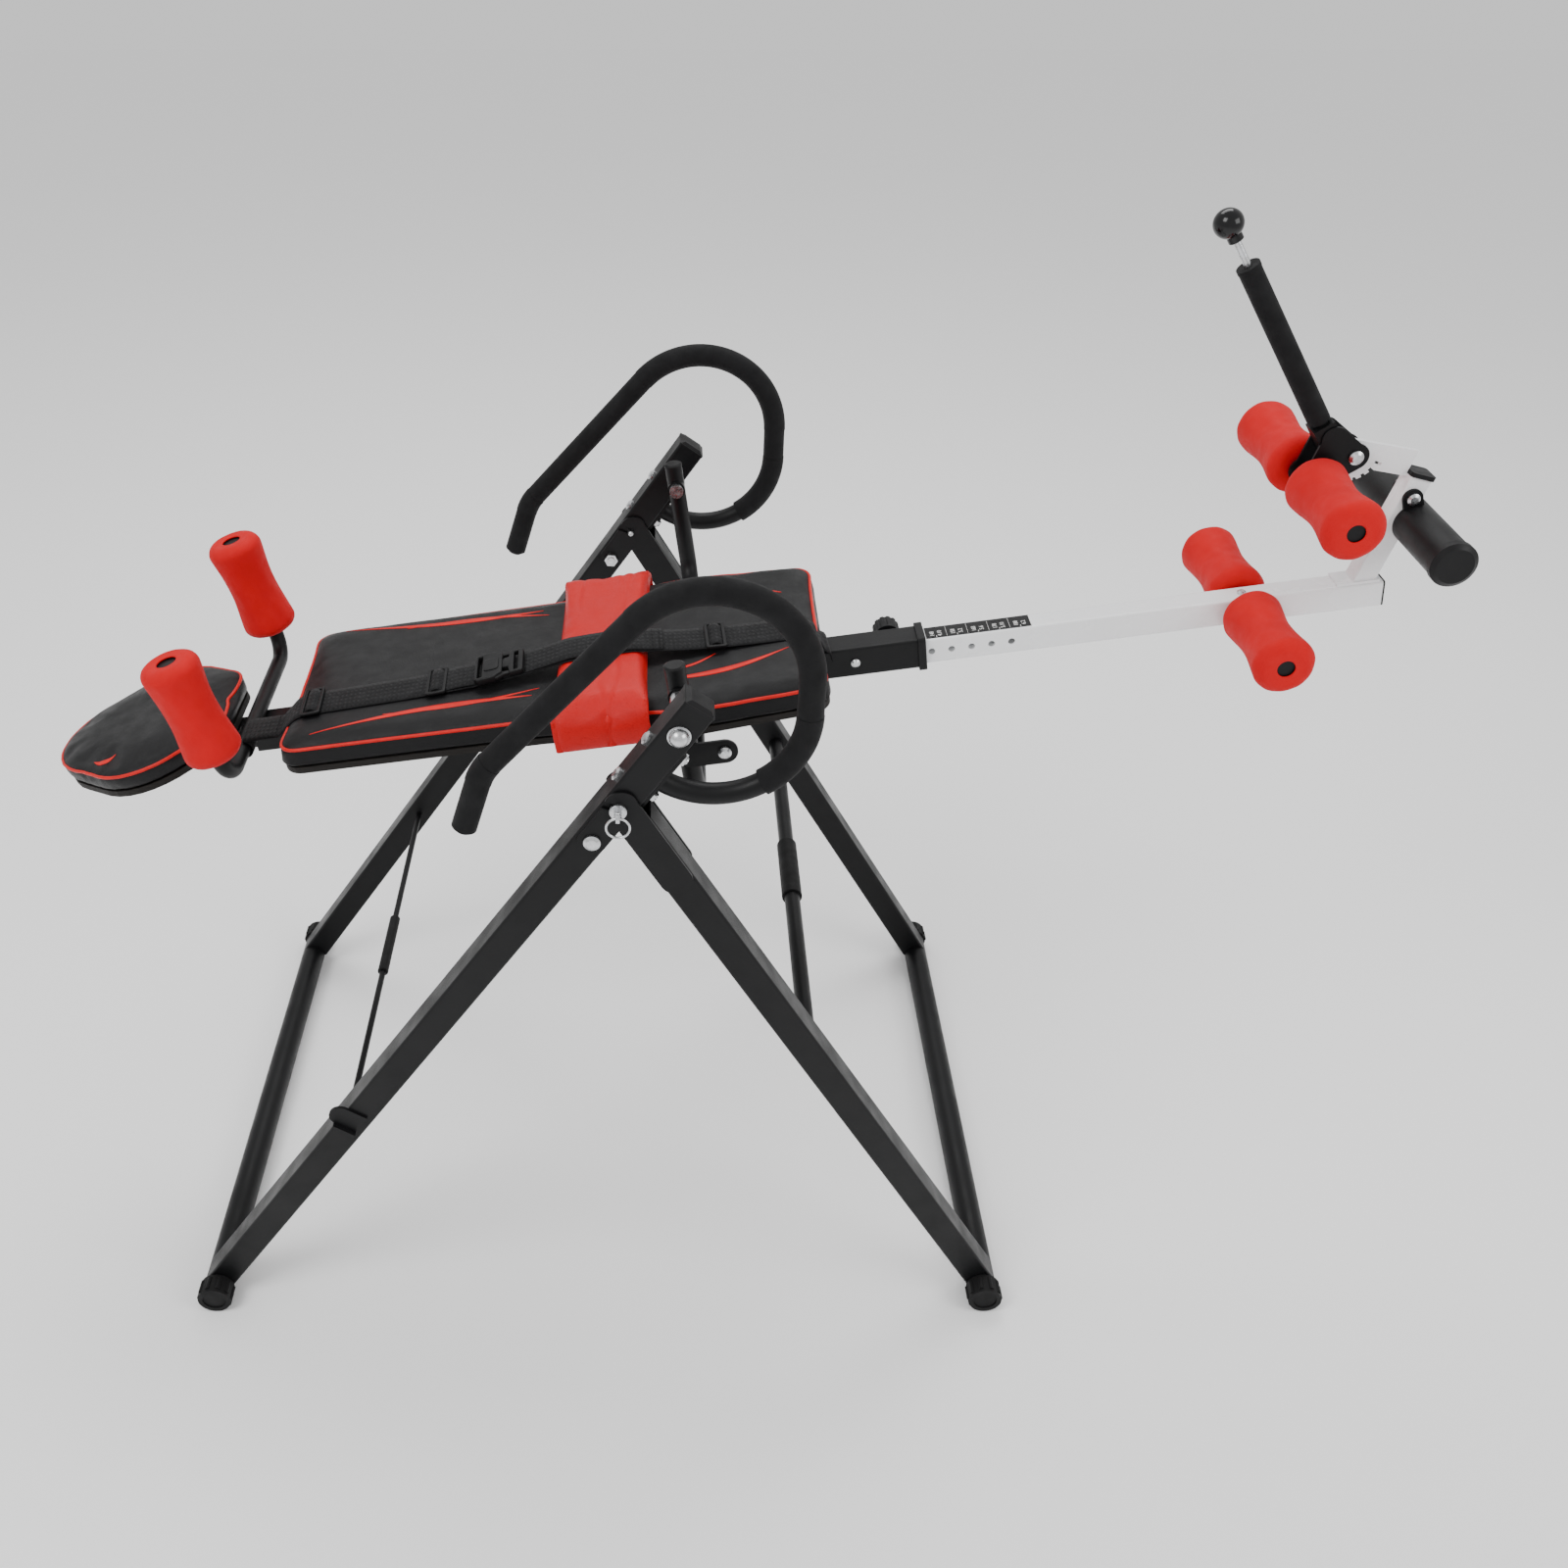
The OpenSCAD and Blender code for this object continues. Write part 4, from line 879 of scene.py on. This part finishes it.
def taut(xs, lift, k_relax=400, start=None):
    """Heights of a pulled strap over the pad and cushion: it spans hollows and rests on what stands up."""
    base = []
    for x in xs:
        hs = [surface(x, y) for y in (-SW / 2, -SW / 4, 0, SW / 4, SW / 2)]
        hs = [h for h in hs if h is not None]
        base.append(max(hs) if hs else None)
    first = next(b for b in base if b is not None)
    low = np.array([b if b is not None else -9 for b in base])
    h = np.where(low < -1, first, low).astype(float)
    if start is not None:
        h[0] = start
    for _ in range(k_relax):
        h[1:-1] = np.maximum(low[1:-1], (h[:-2] + h[2:]) / 2)
    return h + lift


def ribbon(name, path, width, thick, material, m, shift=0.0, cols=6):
    """A woven band through (x, z) points, its sides along local Y."""
    n = len(path)
    verts, faces = [], []
    P = [Vector((p[0], 0, p[1])) for p in path]
    ys = np.linspace(-width / 2, width / 2, cols)
    for side in (0, 1):
        for i in range(n):
            a, b = P[max(i - 1, 0)], P[min(i + 1, n - 1)]
            d = (b - a).normalized()
            nn = Vector((-d.z, 0, d.x))
            for k, y in enumerate(ys):
                e = 1.0 if 0 < k < cols - 1 else 0.55
                half = thick * (0.5 if side else -0.5)
                verts.append(P[i] + nn * (half * e) + Vector((0, y + shift, 0)))
    q = n * cols
    for i in range(n - 1):
        for k in range(cols - 1):
            a = i * cols + k
            faces.append((a, a + 1, a + cols + 1, a + cols))
            faces.append((q + a, q + a + cols, q + a + cols + 1, q + a + 1))
        for k in (0, cols - 1):
            a = i * cols + k
            faces.append((a, a + cols, q + a + cols, q + a))
    for i in (0, n - 1):
        for k in range(cols - 1):
            a = i * cols + k
            faces.append((a, a + 1, q + a + 1, q + a))
    return outward(mesh_object(name, verts, faces, material, m))


xs = np.arange(0.045, LEN - 0.004, 0.004)
T = 0.0016
lay = taut(xs, T * 0.7)
loop_r = 0.0095 + 0.0018
a_end = math.radians(80)
path = [(loop_r * math.cos(a), bar_z + loop_r * math.sin(a))
        for a in np.linspace(math.radians(-200), a_end, 26)]
path += [(x, h) for x, h in zip(xs, lay)]
edge_x = LEN + 0.0012
hz = lay[-1]
path += [(edge_x - 0.004, hz - 0.0008), (edge_x - 0.001, hz - 0.003), (edge_x + 0.0008, hz - 0.007)]
path += [(edge_x + 0.0012, z) for z in np.linspace(hz - 0.012, PAD_LO[2] - 0.006, 6)]
strap = ribbon("strap_long", path, SW, T, MATS["webbing"], STRAP)
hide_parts("strap")

buckle_co = local_points("buckle", STRAP)
BX0, BX1 = buckle_co[:, 0].min(), buckle_co[:, 0].max()
slides_co = local_points("strap_slides", STRAP)
cuts = sorted(slides_co[:, 0])
groups = []
for x in cuts:
    if not groups or x - groups[-1][-1] > 0.03:
        groups.append([x])
    groups[-1].append(x)
slide_x = [(g[0] + g[-1]) / 2 for g in groups]


def at(x):
    """Height and slope of the strap at x."""
    i = int(np.clip(np.searchsorted(xs, x), 2, len(xs) - 3))
    return float(np.interp(x, xs, lay)), math.atan2(lay[i + 2] - lay[i - 2], xs[i + 2] - xs[i - 2])


def on_strap(x, lift=0.0):
    z, a = at(x)
    return STRAP @ Matrix.Translation((x, 0, z + lift)) @ Matrix.Rotation(-a, 4, "Y")


def lying(a, b, lift, rise, count):
    """A second layer on the strap from a to b, bowed up a little in the middle."""
    return [(x, float(np.interp(x, xs, lay)) + lift + rise * math.sin(math.pi * (x - a) / (b - a)) ** 2)
            for x in np.linspace(a, b, count)]


# the adjusting length lies doubled between the head end slide and the buckle
x_a, x_b = slide_x[1] + 0.004, BX0 + 0.006
double = ribbon("strap_double", lying(x_a, x_b, T * 1.08, 0.0012, 40), SW * 0.985, T, MATS["webbing"],
                STRAP, 0.0006)
tail_a, tail_b = BX1 - 0.004, min(BX1 + 0.16, LEN - 0.05)
tail = ribbon("strap_tail", lying(tail_a, tail_b, T * 1.1, 0.002, 44), SW * 0.985, T, MATS["webbing"],
              STRAP, 0.0008)

pairs = []
for x0, z_off in ((slide_x[0] - 0.05, 0.0009), (tail_b - 0.012, T * 1.6 + 0.0006), (LEN - 0.03, 0.0009)):
    for dx in (0.0, 0.008):
        for y in np.arange(-SW / 2 + 0.003, SW / 2 - 0.004, 0.0032):
            z = at(x0 + dx)[0] + z_off
            pairs.append((Vector((x0 + dx, y, z)), Vector((x0 + dx, y + 0.0024, z))))
box_stitch = stitches("strap_stitches", pairs, 0.00045, MATS["webbing"], STRAP)

PL = MATS["black_plastic"]
bm0 = on_strap((BX0 + BX1) / 2 - 0.004, 0.0010)
half = (BX1 - BX0) / 2
W2 = SW + 0.009
female = flat_shape("buckle_a", [
    [(-half + 0.002, -W2 / 2 + 0.004), (-half + 0.006, -W2 / 2), (-0.004, -W2 / 2), (0.0, -W2 / 2 + 0.005),
     (0.005, -W2 / 2 + 0.008), (0.005, W2 / 2 - 0.008), (0.0, W2 / 2 - 0.005), (-0.004, W2 / 2),
     (-half + 0.006, W2 / 2), (-half + 0.002, W2 / 2 - 0.004)],
    round_rect(-half + 0.0085, 0, 0.0055, SW - 0.002, 0.0015),
    ], 0.0012, 0.0095, 0.0014, PL, bm0)
top_ridge = flat_shape("buckle_b", [round_rect(-0.008, 0, 0.018, SW * 0.52, 0.004)],
                       0.0090, 0.0106, 0.0006, PL, bm0)
male = flat_shape("buckle_c", [
    [(0.0035, -0.009), (0.012, -0.010), (0.014, -SW / 2 - 0.0005), (0.028, -SW / 2 - 0.0005),
     (0.030, -SW / 2 + 0.002), (0.030, SW / 2 - 0.002), (0.028, SW / 2 + 0.0005), (0.014, SW / 2 + 0.0005),
     (0.012, 0.010), (0.0035, 0.009)],
    round_rect(0.0215, 0, 0.0050, SW - 0.008, 0.0015)], 0.0018, 0.0080, 0.0012, PL, bm0)
prong = []
for s in (-1, 1):
    prong.append(flat_shape("buckle_p%d" % (s + 1), [
        [(0.013, s * (SW / 2 - 0.006)), (-0.004, s * (SW / 2 - 0.0065)), (-0.010, s * (SW / 2 - 0.002)),
         (-0.008, s * (SW / 2 + 0.0035)), (0.0, s * (SW / 2 + 0.0048)), (0.006, s * (SW / 2 + 0.001)),
         (0.014, s * (SW / 2 - 0.0005))][::s]], 0.0030, 0.0072, 0.0010, PL, bm0))
buckle = join("buckle_piece", [female, top_ridge, male] + prong)
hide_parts("buckle")

slide_parts = []
for i, x in enumerate(slide_x):
    ms = on_strap(x, 0.0010)
    slide_parts.append(flat_shape("slide_%d" % i, [
        round_rect(0, 0, 0.024, SW + 0.008, 0.003),
        round_rect(-0.0056, 0, 0.0048, SW - 0.001, 0.001),
        round_rect(0.0056, 0, 0.0048, SW - 0.001, 0.001)],
        0.0002, 0.0036, 0.0009, PL, ms))
    hump = [(-0.0115 + 0.0, 0.0012), (-0.0078, 0.0010), (-0.0058, 0.0022), (-0.0035, 0.0044), (0, 0.0052),
            (0.0035, 0.0044), (0.0058, 0.0022), (0.0078, 0.0010), (0.0115, 0.0012)]
    slide_parts.append(ribbon("slide_web_%d" % i, hump, SW - 0.0025, 0.0014, MATS["webbing"], ms))
slides = join("slide_piece", slide_parts)
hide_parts("strap_slides")

# ---------------------------------------------------------------- foam rollers

def roller(name, node, joint, outward_dir):
    """A waisted foam roller with rolled-in ends and a recess at its outer end, a little uneven."""
    j = joints[joint]
    z = Vector(outward_dir).normalized()
    x = (Y if abs(z.y) < 0.9 else Vector((1, 0, 0)))
    y = z.cross(x).normalized()
    x = y.cross(z)
    m = frame_of(Vector(j["pos_m"]), x, y, z)
    co = local_points(node, m)
    z0, z1 = co[:, 2].min(), co[:, 2].max()
    rad = np.hypot(co[:, 0], co[:, 1])
    R, bore = rad.max(), rad.min()
    half = (z1 - z0) / 2
    mid = (z0 + z1) / 2
    dip, edge, rec = 0.0048, 0.0125, 0.0068
    outer = []
    for s in np.linspace(-1, 1, 34):
        h = (half - edge) * s
        r = R - 0.0002 - dip * math.cos(math.pi / 2 * s) ** 1.25
        outer.append((r, mid + h))
    end_r = outer[-1][0]
    top = [(end_r - edge + edge * math.cos(a), z1 - edge + edge * math.sin(a))
           for a in np.linspace(0.15, math.pi / 2, 8)]
    bot = [(end_r - edge + edge * math.cos(a), z0 + edge + edge * math.sin(a))
           for a in np.linspace(-math.pi / 2, -0.15, 8)]
    hole = bore + 0.0048
    lip = bore + 0.0016
    face = [(r, z1 - 0.0007 * (1 - (r - lip) / (end_r - edge - lip)))
            for r in np.linspace(end_r - edge - 0.002, lip + 0.0014, 7)]
    face += [(lip + 0.0005, z1 - 0.0010), (lip, z1 - 0.0018), (lip + 0.0004, z1 - 0.0026),
             (hole, z1 - 0.0030), (hole, z1 - rec), (bore + 0.0002, z1 - rec)]
    prof = bot + outer + top + face + [(bore + 0.0002, z0 + 0.001), (bore + 0.0012, z0)]
    ob = lathe(name, prof, MATS["red_roller"], m, 112)
    n = len(ob.data.vertices)
    c = np.empty(n * 3)
    ob.data.vertices.foreach_get("co", c)
    c = c.reshape(-1, 3)
    th = np.arctan2(c[:, 1], c[:, 0])
    rr = np.hypot(c[:, 0], c[:, 1])
    seed = sum(ord(k) for k in name) * 0.37
    zz = (c[:, 2] - mid) / half
    soft = np.clip((rr - hole - 0.004) / 0.012, 0, 1)
    w = (np.sin(2 * th + seed) * np.cos(2.2 * zz + seed) + 0.6 * np.sin(5 * th - seed + 3 * zz)
         + 0.35 * np.sin(11 * th + seed * 2 + 7 * zz))
    k = 1 - 0.0007 * (1 + w / 1.95) * soft / np.maximum(rr, 1e-6)
    c[:, 0] *= k
    c[:, 1] *= k
    ob.data.vertices.foreach_set("co", c.ravel())
    ob.data.update()
    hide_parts(node)
    body = j["child"]
    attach(ob, body)
    return ob


for side, s in (("near", -1), ("far", 1)):
    roller("heel_foam_" + side, "heel_roller_" + side, "heel_spin_" + side, (0, s, 0))
    roller("instep_foam_" + side, "instep_roller_" + side, "instep_spin_" + side, (0, s, 0))
    roller("shoulder_foam_" + side, "shoulder_roller_" + side, "shoulder_spin_" + side,
           joints["shoulder_spin_" + side]["axis"])

# ---------------------------------------------------------------- height scale on the boom

lab = local_points("scale_label", BED)
LX0, LX1, LZ = lab[:, 0].min(), lab[:, 0].max(), lab[:, 2].max()
LY0, LY1 = lab[:, 1].min(), lab[:, 1].max()
marks = []


def text_mesh(name, body, size, m):
    cu = bpy.data.curves.new(name, "FONT")
    cu.body = body
    cu.size = size
    cu.extrude = 0.00006
    cu.resolution_u = 2
    cu.align_x = "CENTER"
    cu.align_y = "CENTER"
    tmp = bpy.data.objects.new(name + "_c", cu)
    C.scene.collection.objects.link(tmp)
    tmp.matrix_world = m
    C.view_layer.update()
    me = bpy.data.meshes.new_from_object(tmp.evaluated_get(C.evaluated_depsgraph_get()))
    bpy.data.objects.remove(tmp)
    me.materials.clear()
    me.materials.append(INK)
    ob = bpy.data.objects.new(name, me)
    C.scene.collection.objects.link(ob)
    ob.matrix_world = m
    return ob


def bar_mesh(name, x0, x1, y0, y1):
    z0, z1 = LZ + 0.00002, LZ + 0.00012
    v = [(x, y, z) for z in (z0, z1) for x, y in ((x0, y0), (x1, y0), (x1, y1), (x0, y1))]
    f = [(0, 3, 2, 1), (4, 5, 6, 7), (0, 1, 5, 4), (1, 2, 6, 5), (2, 3, 7, 6), (3, 0, 4, 7)]
    return mesh_object(name, v, f, INK, BED, smooth=False)


count = 5
step = (LX1 - LX0) / count
quarter = Matrix.Rotation(math.pi / 2, 4, "Z")
for i in range(count):
    x = LX0 + step * (i + 0.5)
    inches = 10 + 4 * i
    for k, body in enumerate((str(148 + 10 * i), "%d.%d" % (4 + inches // 12, inches % 12))):
        place = Matrix.Translation((x - 0.0045 + 0.009 * k, (LY0 + LY1) / 2 - 0.003, LZ + 0.00008))
        marks.append(text_mesh("num_%d_%d" % (i, k), body, 0.0074, BED @ place @ quarter))
    marks.append(bar_mesh("tick_%d" % i, x - 0.0003, x + 0.0003, LY0 + 0.0015, LY0 + 0.0055))
    edge = x + step / 2
    marks.append(bar_mesh("line_%d" % i, edge - 0.00025, edge + 0.00005, LY0 + 0.002, LY1 - 0.002))
ink = join("scale_ink", marks)

# ---------------------------------------------------------------- what rides on what

for ob, fill in ((back, 0.7), (cushion, 0.7)):
    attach(ob, "bed")
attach(head, "headrest")
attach(head_piping, "headrest")
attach(head_print, "headrest")
for ob in [back_piping, low_seam, cushion_thread, strap, double, tail, box_stitch, buckle, slides] + prints:
    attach(ob, "bed")
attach(ink, "boom")

# ---------------------------------------------------------------- floor, light, camera

floor_mat = Mat("floor", (0.97, 0.97, 0.97), 0.9)
floor_mat.tint(floor_mat.ramp(floor_mat.noise(1.5, 3), 0.3, 0.8, 0, 0.5), (0.955, 0.955, 0.96))
floor = mesh_object("floor", [(-9, -9, 0), (9, -9, 0), (9, 9, 0), (-9, 9, 0)], [(0, 1, 2, 3)],
                    floor_mat.m, smooth=False)

world = bpy.data.worlds.new("studio")
C.scene.world = world
world.use_nodes = True
sky = world.node_tree.nodes["Background"]
sky.inputs["Color"].default_value = (1, 1, 1, 1)
sky.inputs["Strength"].default_value = 0.85


def area(name, pos, aim, size, power):
    li = bpy.data.lights.new(name, "AREA")
    li.shape = "RECTANGLE"
    li.size, li.size_y = size
    li.energy = power
    ob = bpy.data.objects.new(name, li)
    C.scene.collection.objects.link(ob)
    ob.location = pos
    ob.rotation_euler = (Vector(aim) - Vector(pos)).to_track_quat("-Z", "Y").to_euler()
    return ob


area("key", (-1.9, -1.7, 3.3), (0, 0, 0.7), (1.6, 1.6), 66)
area("fill", (2.6, -1.6, 2.4), (0.2, 0, 0.8), (1.8, 1.4), 34)
area("top", (0.1, 1.6, 3.4), (0, 0, 0.7), (2.6, 1.2), 52)

cam_data = bpy.data.cameras.new("camera")
cam = bpy.data.objects.new("camera", cam_data)
C.scene.collection.objects.link(cam)
# where the viewer stands from the bed pivot, how far it looks down, and a lens as long as that view needs
VIEW_FROM = Vector((-0.0109, -1.574, 0.8074))
VIEW_DOWN = 55
FILM = 36
LENS = 34.605
cam.location = (PIVOT.x + VIEW_FROM.x, VIEW_FROM.y, PIVOT.z + VIEW_FROM.z)
cam.rotation_euler = (math.radians(VIEW_DOWN), 0, 0)
cam_data.sensor_width = FILM
cam_data.lens = LENS
cam_data.shift_x = 0.074
C.scene.camera = cam
